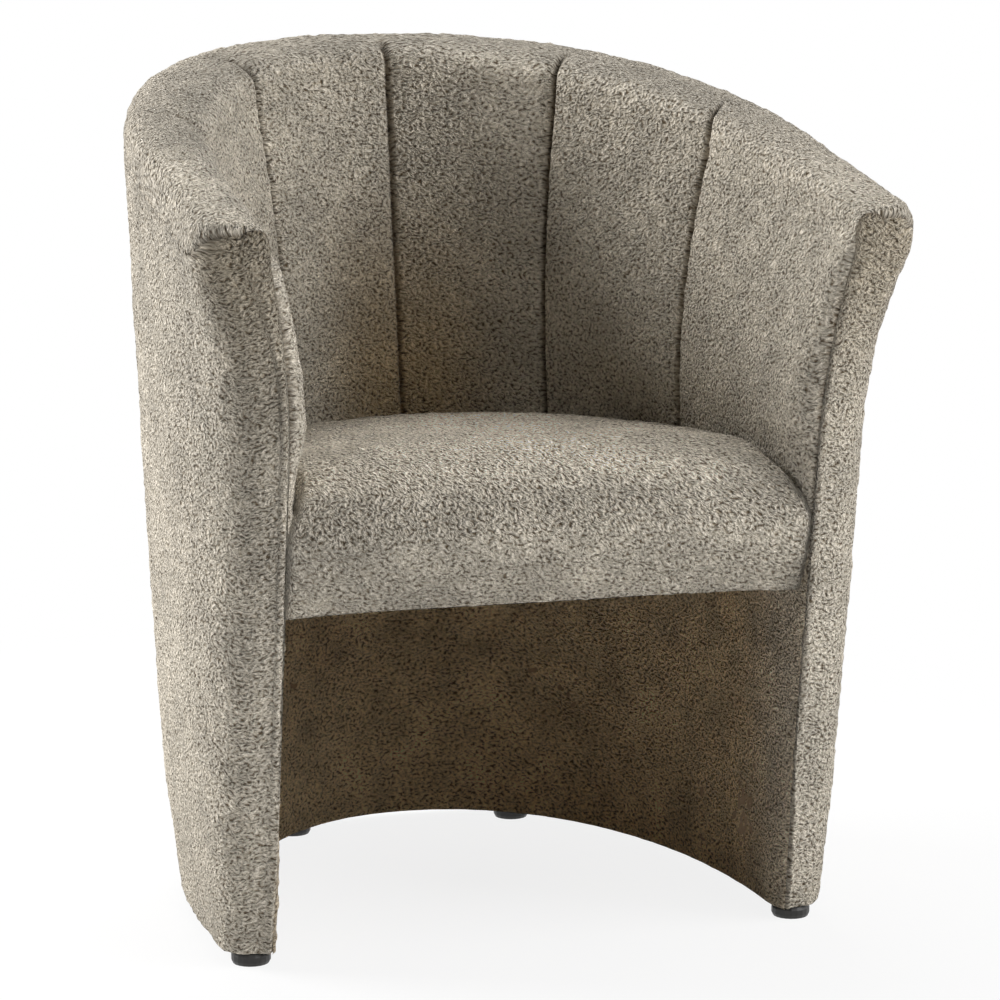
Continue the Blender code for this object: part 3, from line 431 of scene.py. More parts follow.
def inner_wall(place, z, top=BACK_ROLL_BASE, lining=False):
    """Right half of the inside at height z, from the seam on the arm front (0) to the back centre (3)."""
    front = -slope(BASE_FRONT, TOP_FRONT, z)
    seam = SEAM_HALF_WIDTH + SEAM_FLARE * flare(z, FRONT_ROLL_BASE)
    if lining:
        back, width = LINING_BACK, LINING_HALF_WIDTH
    else:
        lean = np.maximum(0, (z - LEAN_START) / (HEIGHT - LEAN_START))
        back = INNER_SEAT_BACK + (INNER_TOP_BACK - INNER_SEAT_BACK) * lean
        width = INNER_HALF_WIDTH + INNER_FLARE * flare(z, top)
    corner_end = front + FRONT_ROUND
    t = np.clip(place, 0, 1)
    y = front + FRONT_ROUND * t**2
    t = np.clip(place - 1, 0, 1)
    y = np.where(place > 1, corner_end + (INNER_SIDE_END_Y - corner_end) * t, y)
    share = np.clip((INNER_SIDE_END_Y - y) / (INNER_SIDE_END_Y - front), 0, 1)
    x = width + (seam - width) * share**LIP_POWER
    back_x, back_y = oval(width, INNER_SIDE_END_Y, back, INNER_SQUARENESS, np.clip(place - 2, 0, 1))
    x, y = np.where(place > 2, back_x, x), np.where(place > 2, back_y, y)
    return np.stack(np.broadcast_arrays(x, y, z), axis=-1)


def rim_plane(y):
    """Height of the sloping plane under the rim's roll."""
    front = slope(BASE_FRONT, TOP_FRONT, FRONT_ROLL_BASE)
    back = (slope(BASE_BACK, TOP_BACK, BACK_ROLL_BASE) + INNER_TOP_BACK) / 2
    return FRONT_ROLL_BASE + (BACK_ROLL_BASE - FRONT_ROLL_BASE) * (y + front) / (front + back)


def settle(wall):
    """Height at which each place of a wall meets the plane under the roll."""
    z = np.full(len(PLACES), FRONT_ROLL_BASE)
    for _ in range(SETTLE_ROUNDS):
        z = rim_plane(wall(z)[:, 1])
    return z


def arc(grid, axis):
    """Distance along each row or column of a grid of points."""
    steps = np.linalg.norm(np.diff(grid, axis=axis), axis=-1)
    pad = [(0, 0), (0, 0)]
    pad[axis] = (1, 0)
    return np.pad(np.cumsum(steps, axis=axis), pad)


def normals_of(grid, closed=False):
    """Unit normals of a grid of points."""
    if closed:
        along = np.roll(grid, -1, axis=1) - np.roll(grid, 1, axis=1)
    else:
        along = np.gradient(grid, axis=1)
    normal = np.cross(along, np.gradient(grid, axis=0))
    return normal / np.maximum(np.linalg.norm(normal, axis=-1, keepdims=True), TINY)


def eased(grid):
    """A grid whose columns are smoothed along their length, with both ends kept."""
    for _ in range(EASING):
        grid = np.concatenate([grid[:1], (grid[:-2] + 2 * grid[1:-1] + grid[2:]) / 4, grid[-1:]])
    return grid


def both_halves(values):
    """Values from one arm front round to the other, from those of the right half."""
    return np.concatenate([values, values[:, -2::-1]], axis=1)


def mirrored(half, flip=(-1, 1, 1)):
    """A grid from one arm front round to the other, from its right half."""
    return np.concatenate([half, half[:, -2::-1] * np.array(flip)], axis=1)


def cloth_places(grid):
    """Each point's place on the flat cloth: along the rows from the back centre, and up the columns."""
    along = arc(grid, 1)
    return np.stack([along - along[:, -1:], arc(grid, 0)], axis=-1)


def painted_shade(recess, groove):
    """Painted shade: what the cloth's colour is multiplied by at each point, brown in recesses and dark in
    sewn grooves.
    """
    warm = 1 - np.asarray(recess)[..., None] * (1 - np.array(RECESS_PAINTED_SHADE))
    return warm * (1 - np.asarray(groove)[..., None] * (1 - np.array(GROOVE_PAINTED_SHADE)))


def tree_node(tree, kind, settings=None, **inputs):
    """A shader node with its settings, and its inputs set to values or joined to other nodes. An input is
    called by its name, or by its number after a low line."""
    made = tree.nodes.new("ShaderNode" + kind)
    for key, value in (settings or {}).items():
        setattr(made, key, value)
    for key, value in inputs.items():
        socket = made.inputs[int(key[1:])] if key[0] == "_" else made.inputs[key.replace("_", " ")]
        if isinstance(value, bpy.types.NodeSocket):
            tree.links.new(value, socket)
        else:
            socket.default_value = value
    return made


def maths(tree, operation, *values):
    """The result of a sum or other operation on values and sockets."""
    inputs = {f"_{k}": value for k, value in enumerate(values)}
    return tree_node(tree, "Math", {"operation": operation}, **inputs).outputs[0]


def ramp(tree, value, *stops):
    """A colour that runs between stops of place and colour."""
    made = tree_node(tree, "ValToRGB", None, Fac=value)
    elements = made.color_ramp.elements
    while len(elements) < len(stops):
        elements.new(0.5)
    for element, (place, colour) in zip(elements, stops):
        element.position = place
        element.color = (*colour, 1.0)
    return made.outputs["Color"]


def times(tree, first, second):
    """The product of two colours."""
    blend = {"data_type": "RGBA", "blend_type": "MULTIPLY"}
    return tree_node(tree, "Mix", blend, _0=1.0, _6=first, _7=second).outputs[2]


def new_material(name):
    """An empty node material, with its tree and its Principled shader."""
    material = bpy.data.materials.new(name)
    material.use_nodes = True
    return material, material.node_tree, material.node_tree.nodes["Principled BSDF"]


def strand_height(tree):
    """Height of the loop fabric's short strands, whose direction changes from patch to patch."""
    flat = tree_node(tree, "UVMap", {"uv_map": "cloth"}).outputs[0]
    wobble = tree_node(tree, "TexNoise", None, Vector=flat, Scale=WOBBLE_SCALE, Detail=1.0).outputs["Color"]
    shift = tree_node(tree, "VectorMath", {"operation": "SUBTRACT"}, _0=wobble, _1=(0.5, 0.5, 0.5))
    moved = tree_node(
        tree, "VectorMath", {"operation": "MULTIPLY_ADD"},
        _0=shift.outputs[0], _1=(WOBBLE, WOBBLE, 0.0), _2=flat,
    ).outputs[0]
    height = None
    for turn, patch_scale in STRAND_TURNS:
        turned = tree_node(
            tree, "Mapping", None, Vector=moved, Location=(patch_scale, 0, 0), Rotation=(0, 0, turn),
            Scale=(STRAND_ALONG, STRAND_ACROSS, 1),
        ).outputs[0]
        strands = tree_node(
            tree, "TexNoise", {"noise_dimensions": "2D"},
            Vector=turned, Scale=1.0, Detail=STRAND_DETAIL, Roughness=0.5,
        ).outputs["Fac"]
        if height is None:
            height = strands
            continue
        patch = tree_node(tree, "TexNoise", None, Vector=flat, Scale=patch_scale, Detail=0.0).outputs["Fac"]
        low, high = PATCH_EDGES
        choice = tree_node(tree, "MapRange", None, Value=patch, From_Min=low, From_Max=high).outputs[0]
        height = tree_node(tree, "Mix", None, Factor=choice, A=height, B=strands).outputs[0]
    return height


def loop_fabric():
    """Chunky loop cloth: light strands with dark gaps between them, partly painted shade in the gaps and a
    painted highlight on the tops, uneven tone from place to place, and each point's colour factor, which
    carries painted light and shade."""
    material, tree, shader = new_material("loop_fabric_shown")
    height = strand_height(tree)
    place = tree_node(tree, "TexCoord").outputs["Object"]
    patch = tree_node(tree, "TexNoise", None, Vector=place, Scale=TONE_SCALE, Detail=TONE_DETAIL)
    tone = maths(tree, "MULTIPLY_ADD", patch.outputs["Fac"], TONE_SPREAD, TONE_LEAST)
    tone_colour = tree_node(tree, "CombineColor", None, Red=tone, Green=tone, Blue=tone).outputs[0]
    # Each point's colour factor, which carries painted light and shade
    tone_and_painted_light = tree_node(tree, "Attribute", {"attribute_name": "tone_and_painted_light"}).outputs["Color"]
    # The ramp's dark gaps and light tops are partly painted shade and a painted highlight
    toned = times(tree, ramp(tree, height, *FABRIC_STOPS), tone_colour)
    tree.links.new(times(tree, toned, tone_and_painted_light), shader.inputs["Base Color"])
    bump = tree_node(tree, "Bump", None, Height=height, Distance=FABRIC_BUMP, Strength=1.0)
    tree.links.new(bump.outputs[0], shader.inputs["Normal"])
    for socket, value in FABRIC_SHADER.items():
        shader.inputs[socket].default_value = value
    return material


def flat_finish(name, low, high, scale, roughness, metallic=0.0):
    """A plain surface whose colour and roughness vary a little."""
    material, tree, shader = new_material(name)
    place = tree_node(tree, "TexCoord").outputs["Object"]
    noise = tree_node(tree, "TexNoise", None, Vector=place, Scale=scale, Detail=FINISH_DETAIL).outputs["Fac"]
    tree.links.new(ramp(tree, noise, *zip(FINISH_STOPS, (low, high))), shader.inputs["Base Color"])
    rough = maths(tree, "MULTIPLY_ADD", noise, ROUGHNESS_SPREAD, roughness - ROUGHNESS_SPREAD / 2)
    tree.links.new(rough, shader.inputs["Roughness"])
    bump = tree_node(tree, "Bump", None, Height=noise, Distance=FINISH_BUMP, Strength=FINISH_BUMP_STRENGTH)
    tree.links.new(bump.outputs[0], shader.inputs["Normal"])
    shader.inputs["Metallic"].default_value = metallic
    return material


FINISHES = {
    "loop_fabric": loop_fabric(),
    "wood": flat_finish("raw_wood", (0.50, 0.34, 0.19), (0.68, 0.51, 0.32), 60.0, 0.7),
    "hardboard": flat_finish("brown_board", (0.24, 0.15, 0.08), (0.33, 0.22, 0.13), 220.0, 0.75),
    "steel": flat_finish("plated_steel", (0.52, 0.52, 0.53), (0.64, 0.64, 0.66), 90.0, 0.35, 1.0),
    "felt": flat_finish("grey_felt", (0.13, 0.13, 0.13), (0.24, 0.23, 0.22), 500.0, 0.95),
    "foam": flat_finish("cut_foam", (0.70, 0.63, 0.42), (0.80, 0.73, 0.52), 700.0, 0.95),
    "black_cloth": flat_finish(
        "black_cloth_shown", (0.012, 0.012, 0.012), (0.035, 0.034, 0.033), 900.0, 0.9
    ),
    "black_plastic": flat_finish(
        "black_plastic_shown", (0.008, 0.007, 0.006), (0.02, 0.018, 0.016), 300.0, 0.42
    ),
}


def mesh_piece(name, points, cloth, faces, smooth, slot="loop_fabric", tone_and_painted_light=1.0):
    """A finished mesh that rides on the frame, with its faces pointing out. Cloth gives each point's place on
    the flat cloth, the colour factor what its colour is multiplied by, painted light and shade included, and
    the first few lists of faces are shaded smooth."""
    volume = 0.0
    for face in faces:
        a = points[face[:, 0]]
        for k in range(1, face.shape[1] - 1):
            volume += np.einsum("ij,ij", a, np.cross(points[face[:, k]], points[face[:, k + 1]]))
    listed = []
    for face in faces:
        listed += (face if volume > 0 else face[:, ::-1]).tolist()
    mesh = bpy.data.meshes.new(name)
    mesh.from_pydata(points.tolist(), [], listed)
    smooth_count = sum(len(face) for face in faces[:smooth])
    mesh.polygons.foreach_set("use_smooth", np.arange(len(listed)) < smooth_count)
    corner_points = np.empty(len(mesh.loops), dtype=np.int32)
    mesh.loops.foreach_get("vertex_index", corner_points)
    mesh.uv_layers.new(name="cloth").data.foreach_set("uv", cloth[corner_points].astype(np.float32).ravel())
    shares = np.broadcast_to(tone_and_painted_light, points.shape).astype(np.float32)
    mesh.attributes.new("tone_and_painted_light", "FLOAT_VECTOR", "POINT").data.foreach_set("vector", shares.ravel())
    mesh.materials.append(FINISHES[slot])
    piece = bpy.data.objects.new(name, mesh)
    bpy.context.scene.collection.objects.link(piece)
    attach(piece, "root")
    return piece


def grid_faces(rows, columns, start=0, closed=False):
    """Four-sided faces over a grid of points that are numbered row by row."""
    index = start + np.arange(rows * columns).reshape(rows, columns)
    if closed:
        index = np.concatenate([index, index[:, :1]], axis=1)
    corners = (index[:-1, :-1], index[:-1, 1:], index[1:, 1:], index[1:, :-1])
    return np.stack(corners, axis=-1).reshape(-1, 4)


def border_faces(fine, coarse, picks):
    """Three-sided faces between a fine edge and the coarse edge made from its picked points."""
    faces = []
    for k, (low, high) in enumerate(zip(picks, picks[1:])):
        faces += [(fine[i], fine[i + 1], coarse[k]) for i in range(low, high)]
        faces.append((fine[high], coarse[k + 1], coarse[k]))
    return faces


def shell(name, face, back, cloth, tone_and_painted_light):
    """A padded piece: a fine grid in front, and every tenth point of a second grid behind it."""
    rows, columns = face.shape[:2]
    row_picks = sorted({*range(0, rows, BACK_PICK), rows - 1})
    column_picks = sorted({*range(0, columns, BACK_PICK), columns - 1})

    def with_picked(front, rear, width):
        picked = rear[row_picks][:, column_picks]
        return np.concatenate([front.reshape(-1, width), picked.reshape(-1, width)])

    front_index = np.arange(rows * columns).reshape(rows, columns)
    rear_shape = (len(row_picks), len(column_picks))
    rear_index = rows * columns + np.arange(math.prod(rear_shape)).reshape(rear_shape)
    edges = border_faces(front_index[0], rear_index[0], column_picks)
    edges += border_faces(front_index[:, -1], rear_index[:, -1], row_picks)
    edges += [f[::-1] for f in border_faces(front_index[-1], rear_index[-1], column_picks)]
    edges += [f[::-1] for f in border_faces(front_index[:, 0], rear_index[:, 0], row_picks)]
    behind = grid_faces(*rear_shape, rows * columns)[:, ::-1]
    faces = [grid_faces(rows, columns), behind, np.array(edges)[:, ::-1]]
    points, cloth = with_picked(face, back, 3), with_picked(cloth, cloth, 2)
    return mesh_piece(name, points, cloth, faces, smooth=1, tone_and_painted_light=with_picked(tone_and_painted_light, tone_and_painted_light, 3))


# Places round the tub's right half, closer together at the seams, and their distances along the inside
probe = np.linspace(0, BACK_CENTRE, PROBE_POINTS)
probe_arc = arc(inner_wall(probe, np.full_like(probe, PROBE_HEIGHT))[None], 1)[0]
SEAM_ARCS = np.interp(BACK_SEAMS, probe, probe_arc)
ARCS = spread(probe_arc[-1], SPACING, fine_at=(0, *SEAM_ARCS))
PLACES = np.interp(ARCS, probe_arc, probe)
PLACES[-1] = BACK_CENTRE
ROLL_BASE = settle(lambda z: outer_wall(PLACES, z))
INNER_BASE = settle(lambda z: inner_wall(PLACES, z, ROLL_BASE))

# Ends of a wall section's values: place, normal, place on the cloth and share of the roll crossed. What is
# left is the place behind the padding.
SECTION_ENDS = (3, 6, 8, 9)


def roll_height(place):
    """Height of the rim's roll, lower at the very front, where it turns down to the arm front."""
    nose = 1 - (1 - np.clip(place, 0, 1)) ** 2
    return ROLL_HEIGHT * (NOSE_SHARE + (1 - NOSE_SHARE) * np.sqrt(nose))


def roll_grid(start, end, height):
    """Points over the roll from the outside edge to the inside, and their shares of its width."""
    turn = np.linspace(0, math.pi, ROLL_ROWS)[:, None]
    power = 2 / ROLL_SQUARENESS
    across = np.sign(np.cos(turn)) * np.abs(np.cos(turn)) ** power
    rise = np.abs(np.sin(turn)) ** power * (1 - ROLL_SKEW * across)
    share = (1 - across) / 2
    grid = start + (end - start) * share[..., None]
    grid[..., 2] += height * rise
    return grid, share


def panel_lift(half, roll_share):
    """How far the inside's sewn panels swell between their seams, and sink in at them, and the share of
    the groove at each point."""
    ends = np.array([0, *SEAM_ARCS])
    panel = np.clip(np.searchsorted(ends, ARCS, side="right") - 1, 0, len(SEAM_ARCS) - 1)
    along = (ARCS - ends[panel]) / (ends[panel + 1] - ends[panel])
    over_roll = PILLOW_ON_ROLL * roll_share + (1 - PILLOW_ON_ROLL) * roll_share**PILLOW_ROLL_POWER
    swell = PILLOW * (1 - np.abs(2 * along - 1) ** PILLOW_POWER)
    swell = swell * step_up(half[..., 2], *PILLOW_HEIGHTS) * over_roll
    lip = np.sqrt(np.clip(ARCS / LIP_TOP, 0, 1)) * (1 - step_up(ARCS, LIP_TOP, LIP_END))
    below_roll = step_up(INNER_BASE - half[..., 2], *LIP_DROPS)
    swell = swell + LIP_SWELL * lip * step_up(half[..., 2], *LIP_HEIGHTS) * below_roll
    nearest = np.min(np.abs(ARCS[:, None] - SEAM_ARCS), axis=1)
    groove = edge_dip(nearest, SEAM_DEPTH, SEAM_WIDTH) + edge_dip(nearest, SEAM_DIP, SEAM_DIP_WIDTH)
    sewn = step_up(roll_share, *SEAM_ROLL_SHARES)
    return swell - groove * sewn, bell(nearest, SEAM_WIDTH) * sewn


def recut(columns, lengths, targets):
    """Columns of values cut again at other distances along them."""
    made = np.empty((len(targets), *columns.shape[1:]))
    for c, k in np.ndindex(*columns.shape[1:]):
        made[:, c, k] = np.interp(targets[:, c], lengths[:, c], columns[:, c, k])
    return made


def tub_section():
    """The wall's surface from the hem up the outside, over the rim and down the inside to the seat: the
    values of its points, their distances up from the hem and those of the roll's outside edge."""
    ups = np.linspace(0, 1, OUTSIDE_ROWS)[:, None]
    outside = outer_wall(PLACES, HEM_HEIGHT + (ROLL_BASE - HEM_HEIGHT) * ups)
    start = outside[-1]
    end = inner_wall(PLACES, INNER_BASE, ROLL_BASE)
    roll, share = roll_grid(start, end, roll_height(PLACES))
    downs = np.linspace(0, 1, INSIDE_ROWS)[1:, None]
    wall = inner_wall(PLACES, INNER_BASE + (WALL_SPLIT - INNER_BASE) * downs, ROLL_BASE)
    face = eased(np.concatenate([outside, roll[1:], wall]))
    out = normals_of(face)
    out *= np.sign(out[len(ups) // 2, -1, 1])

    depth = np.interp(PLACES, PADDING_PLACES, (LIP_PADDING, LIP_PADDING, INNER_PADDING))[:, None]
    level = out[-len(wall) :] * np.array([1, 1, 0])
    rear = face[-len(wall) :] - level / np.linalg.norm(level, axis=-1, keepdims=True) * depth
    rear_top = start + (rear[0] - start) * share[1:, :, None]
    behind = np.concatenate([outside, rear_top, rear])
    crossed = np.concatenate([0 * ups, share[1:], np.ones_like(downs)]) + 0 * PLACES
    section = np.concatenate([face, out, cloth_places(face), crossed[..., None], behind], axis=-1)
    up = arc(face, 0)
    return section, up, up[len(ups) - 1]


def build_tub():
    """The wall's upholstery as two pieces, inside and outside. Their joint is a seam over the arm fronts
    and doesn't show elsewhere."""
    section, up, roll_edge = tub_section()
    front = 1 - step_up(PLACES, *ARCH_PLACES)
    joint = roll_edge + LEG_SHARE * roll_height(0.0) * front
    return build_inside(section, up, joint, front), build_outside(section, up, joint, front)


def build_inside(section, up, joint, front):
    """The inside with the rolled rim and the sewn back, from the joint down to the seat."""
    downs = spread(INSIDE_LENGTH, SPACING, fine_at=(0, INSIDE_LENGTH)) / INSIDE_LENGTH
    upper = joint + (up[-1] - joint) * downs[:, None]
    place, out, cloth, crossed, behind = np.split(recut(section, up, upper), SECTION_ENDS, axis=-1)
    out /= np.linalg.norm(out, axis=-1, keepdims=True)
    crossed = crossed[..., 0]
    nose = (ROLL_HEIGHT - roll_height(PLACES)) * 4 * crossed * (1 - crossed)
    cloth = np.stack([ARCS - ARCS[-1] - nose, cloth[..., 1] - up[-1]], axis=-1)
    lift, groove = panel_lift(place, crossed)
    lift -= edge_dip(up[-1] - upper)
    lift -= np.maximum(edge_dip(ARCS), edge_dip(upper - joint, ARCH_DEPTH) * front)
    shown = place + out * (lift + unevenness(place))[..., None]
    # Painted shade along the joint over the arm front, then the inside's painted shade
    joint_line = JOINT_LINE * bell(upper - joint, JOINT_LINE_WIDTH) * front
    tone_and_painted_light = inside_painted_shade(place, crossed, np.maximum(groove, joint_line))
    return shell("inner_upholstery", mirrored(shown), mirrored(behind), mirrored(cloth, (-1, 1)), tone_and_painted_light)


def inside_painted_shade(place, crossed, groove):
    """Painted shade over the whole inside: what its colour is multiplied by, from the places of its right
    half's points, their shares of the roll crossed and their shares of a groove."""
    valley = VALLEY * bell(ARCS, GROOVE_WIDTH) * step_up(INNER_BASE - place[..., 2], *VALLEY_DROPS)
    low = both_halves((1 - step_up(place[..., 2], *LOW_HEIGHTS)) * step_up(PLACES, *LOW_PLACES))
    low *= LOW_LEFT_SHARE + (1 - LOW_LEFT_SHARE) * step_up(mirrored(place)[..., 0], *LOW_LEFT_X)
    crest = step_up(crossed, *CREST_RISE) * (1 - step_up(crossed, *CREST_FALL))
    shade = CREST_SHADE * crest * step_up(PLACES, *CREST_PLACES)
    shade += (1 - OUTER_SHADES[-1]) * (1 - step_up(crossed, *ROLL_EDGE))
    light = (1 - both_halves(shade)) * (1 - LOW_SHADE * low)
    return light[..., None] * painted_shade(low, both_halves(np.maximum(groove, valley)))


def build_outside(section, up, joint, front):
    """The outside from the hem up to the joint, with the arm fronts."""
    ups = spread(OUTSIDE_LENGTH, OUTER_SPACING, fine_at=(0, OUTSIDE_LENGTH), fine=FINE_ROWS) / OUTSIDE_LENGTH
    lower = joint * ups[:, None]
    place, out, cloth = np.split(recut(section, up, lower), SECTION_ENDS, axis=-1)[:3]
    out /= np.linalg.norm(out, axis=-1, keepdims=True)
    slant = place[:, :1, 0] - cloth[:, :1, 0]
    cloth[..., 0] += (slant - slant.mean()) * (1 - ARCS / ARCS[-1])
    lift = -hem_dip(lower) - edge_dip(joint - lower, ARCH_DEPTH) * front
    shown = place + out * (lift + unevenness(place))[..., None]
    facing, facing_behind, facing_cloth, groove = arm_front(ups, place, cloth)
    face = np.concatenate([facing, shown], axis=1)
    behind = np.concatenate([facing_behind, place - out * OUTER_PADDING], axis=1)
    cloth = np.concatenate([facing_cloth, cloth], axis=1)

    # Painted light and shade: up the outside darker at the hem, lightest low down and darkest at the top, a
    # painted shadow on the arm fronts under the roll's nose, and painted shade in the arm fronts' grooves
    turned = np.concatenate([np.zeros(groove.shape[1]), step_up(PLACES, *FACING_TURN_PLACES)])[:, None]
    shade = np.interp(face[..., 2:], OUTER_SHADE_HEIGHTS, OUTER_SHADES)
    under = bell(joint[0] - lower[:, :1], FACING_SHADOW_REACH)[..., None]
    tone_and_painted_light = (1 - turned * (1 - shade)) * (1 - under * (1 - turned) * (1 - np.array(FACING_PAINTED_SHADOW)))
    tone_and_painted_light[:, : groove.shape[1]] *= painted_shade(0 * groove, groove)
    cloth, tone_and_painted_light = mirrored(cloth, (-1, 1)), both_halves(tone_and_painted_light)
    return shell("outer_upholstery", mirrored(face), mirrored(behind), cloth, tone_and_painted_light)


def arm_front(ups, corner, corner_cloth):
    """The flat front of an arm, arched at the top over the end of the roll, as columns that lead up to
    its corner: points shown, points behind, places on the cloth and shares of the groove at its seam."""
    turn = np.linspace(0, math.pi / 2, FACING_COLUMNS)
    inner_half = (1 - np.maximum(0, np.cos(turn)) ** (2 / ROLL_SQUARENESS)) / 2
    t = np.concatenate([inner_half, np.linspace(0.5, 1, FACING_COLUMNS)[1:-1]])
    arch = np.maximum(0, 1 - np.abs(2 * t - 1) ** ROLL_SQUARENESS) ** (1 / ROLL_SQUARENESS)
    arch = np.where(t > 0.5, np.maximum(arch, LEG_SHARE), arch)
    top = ROLL_BASE[0] + roll_height(0.0) * arch
    z = HEM_HEIGHT + (top - HEM_HEIGHT) * ups[:, None]
    flat = outer_wall(t - 1, np.minimum(z, ROLL_BASE[0]))
    flat[..., 2] = z
    lean = (TOP_FRONT - BASE_FRONT) / HEIGHT
    out = np.array([0, -1, -lean]) / math.hypot(1, lean)
    up = arc(flat, 0)
    along = arc(np.concatenate([flat, corner[:, :1]], axis=1), 1)
    across = along[:, :-1]
    under = up[-1] - up
    lift = RIDGE * bell(across - RIDGE_PLACE, RIDGE_WIDTH) * step_up(under, *RIDGE_DROPS)
    lift -= np.maximum(edge_dip(across, FACING_DEPTH), edge_dip(under, ARCH_DEPTH))
    lift += FACING_SWELL * np.sin(math.pi * t) * step_up(up, 0, FACING_SWELL_RISE) - hem_dip(up)
    shown = flat + out * (lift + unevenness(flat))[..., None]
    cloth = np.stack([across - along[:, -1:] + corner_cloth[:, :1, 0], up], axis=-1)
    # Shares of painted shade in the seam and arch grooves
    groove = np.maximum(SEAM_GROOVE * bell(across, GROOVE_WIDTH), ARCH_GROOVE * bell(under, GROOVE_WIDTH))
    return shown, flat - out * OUTER_PADDING, cloth, groove


def build_lining():
    """Cloth on the inside of the wall below the seat, down to the hem."""
    rows = spread(WALL_SPLIT - HEM_HEIGHT, LINING_SPACING, fine_at=(0,), fine=FINE_ROWS)[:, None]
    half = inner_wall(PLACES, HEM_HEIGHT + rows + 0 * PLACES, lining=True)
    out = normals_of(half)
    out *= -np.sign(out[len(rows) // 2, -1, 1])
    back = half - out * LINING_CLOTH
    lift = -LINING_EDGE_SHARE * edge_dip(ARCS) - LINING_HEM_SHARE * hem_dip(arc(half, 0))
    shown = half + out * (lift + unevenness(half))[..., None]
    whole = mirrored(half)
    # Lining colour: brighter overall with patches of tone at random, and painted shade under the seat that is
    # weaker at the front
    recess = step_up(whole[..., 1], *LINING_RECESS_Y)
    recess = LINING_FRONT_RECESS + (1 - LINING_FRONT_RECESS) * recess
    patchy = LINING_BRIGHT * (1 + LINING_PATCHES * value_noise(whole, LINING_PATCH_SIZE))
    tone_and_painted_light = patchy[..., None] * painted_shade(recess, 0 * recess)
    cloth = mirrored(cloth_places(half), (-1, 1))
    return shell("lining_upholstery", mirrored(shown), mirrored(back), cloth, tone_and_painted_light)


def seat_shift(y):
    """How far the seat's top is raised at depth y: it tilts down to the back and rolls over in front."""
    middle = (INNER_SEAT_BACK - SEAT_FRONT - SEAT_BULGE) / 2
    roll = np.maximum(0, SEAT_ROLL_START - y)
    return SEAT_TILT * (middle - y) - roll**2 / (2 * SEAT_ROLL_RADIUS)


def seat_outline(z, inset, end_fill=SEAT_END_FILL):
    """Closed plan of the seat at height z: a D that follows the wall, with a bowed front whose ends are
    filled out where it draws in."""
    plan_z = min(max(z, WALL_SPLIT), LEAN_START)
    share = (z - SEAT_BOTTOM) / SEAT_DEPTH
    swell = math.sin(SEAT_SWELL_TURN * min(1.0, share))
    front = -(SEAT_FRONT + SEAT_BULGE * swell) + inset
    end_front = front - end_fill * (1 - swell)
    places = PLACES[PLACES >= 2]
    wall = inner_wall(places, np.full_like(places, plan_z))[:, :2]
    step = np.gradient(wall, axis=0)
    normal = np.stack([-step[:, 1], step[:, 0]], axis=1)
    normal /= np.linalg.norm(normal, axis=1, keepdims=True)
    normal[-1] = (0, -1)
    wall = wall + normal * (inset + SEAT_FIT)
    wall[-1, 0] = 0
    arm_line = -slope(BASE_FRONT, TOP_FRONT, plan_z)
    lip_power = np.interp(z, SEAT_LIP_HEIGHTS, SEAT_LIP_POWERS)

    def side_x(y):
        lip = np.clip((INNER_SIDE_END_Y - y) / (INNER_SIDE_END_Y - arm_line), 0, 1)
        return wall[0, 0] + (SEAM_HALF_WIDTH + SEAT_PRESS - INNER_HALF_WIDTH) * lip**lip_power

    corner_y = end_front + SEAT_CORNER
    flat_end = side_x(corner_y) - SEAT_CORNER
    t = np.linspace(0, 1, SEAT_FRONT_POINTS)[:-1]
    flat_y = front + (end_front - front) * t**SEAT_END_POWER - SEAT_BOW * (1 - t**2)
    flat = np.stack([flat_end * t, flat_y], axis=1)
    t = np.linspace(0, 1, SEAT_CORNER_POINTS)[:-1]
    bend = np.stack([flat_end + SEAT_CORNER * t * (2 - t), end_front + SEAT_CORNER * t**2], axis=1)
    y = np.linspace(corner_y, INNER_SIDE_END_Y, SEAT_SIDE_POINTS)[:-1]
    side = np.stack([side_x(y), y], axis=1)
    half = np.concatenate([flat, bend, side, wall])
    return np.concatenate([half, half[-2:0:-1] * np.array([-1, 1])])


def seat_grid():
    """The seat's surface as a stack of rings, from its lower edge to near its middle, and the places of
    its points on the flat cloth."""
    rings = []
    for share in np.linspace(0, 1, SEAT_SIDE_ROWS):
        turn_in = max(0.0, share - SEAT_SIDE_SHARE) / (1 - SEAT_SIDE_SHARE)
        z = SEAT_BOTTOM + SEAT_DEPTH * share
        plan = seat_outline(z, SEAT_EDGE_ROUND * turn_in**2)
        rings.append(np.column_stack([plan, z + max(0.0, 2 * share - 1) * seat_shift(plan[:, 1])]))
    edge = rings[-1]
    middle = np.array([0.0, (edge[:, 1].min() + edge[:, 1].max()) / 2, 0.0])
    for share in np.linspace(1, SEAT_LAST_RING, SEAT_TOP_ROWS)[1:]:
        shrunk = middle + (edge - middle) * np.array([share, share, 1])
        crown = SEAT_CROWN_RISE * (1 - share**SEAT_CROWN_POWER)
        shrunk[:, 2] = SEAT_EDGE + crown + seat_shift(shrunk[:, 1])
        rings.append(shrunk)
    grid = eased(np.array(rings))
    fall = np.maximum(0, arc(grid, 0)[SEAT_SIDE_ROWS - 1] - arc(grid, 0))
    outward = np.roll(edge, -1, axis=0) - np.roll(edge, 1, axis=0)
    outward = np.stack([outward[:, 1], -outward[:, 0]], axis=1)
    outward /= np.linalg.norm(outward, axis=1, keepdims=True)
    cloth = np.where(fall[..., None] > 0, edge[:, :2] + outward * fall[..., None], grid[..., :2])
    cosine, sine = math.cos(SEAT_CLOTH_TURN), math.sin(SEAT_CLOTH_TURN)
    return grid, cloth @ np.array([[cosine, sine], [-sine, cosine]])


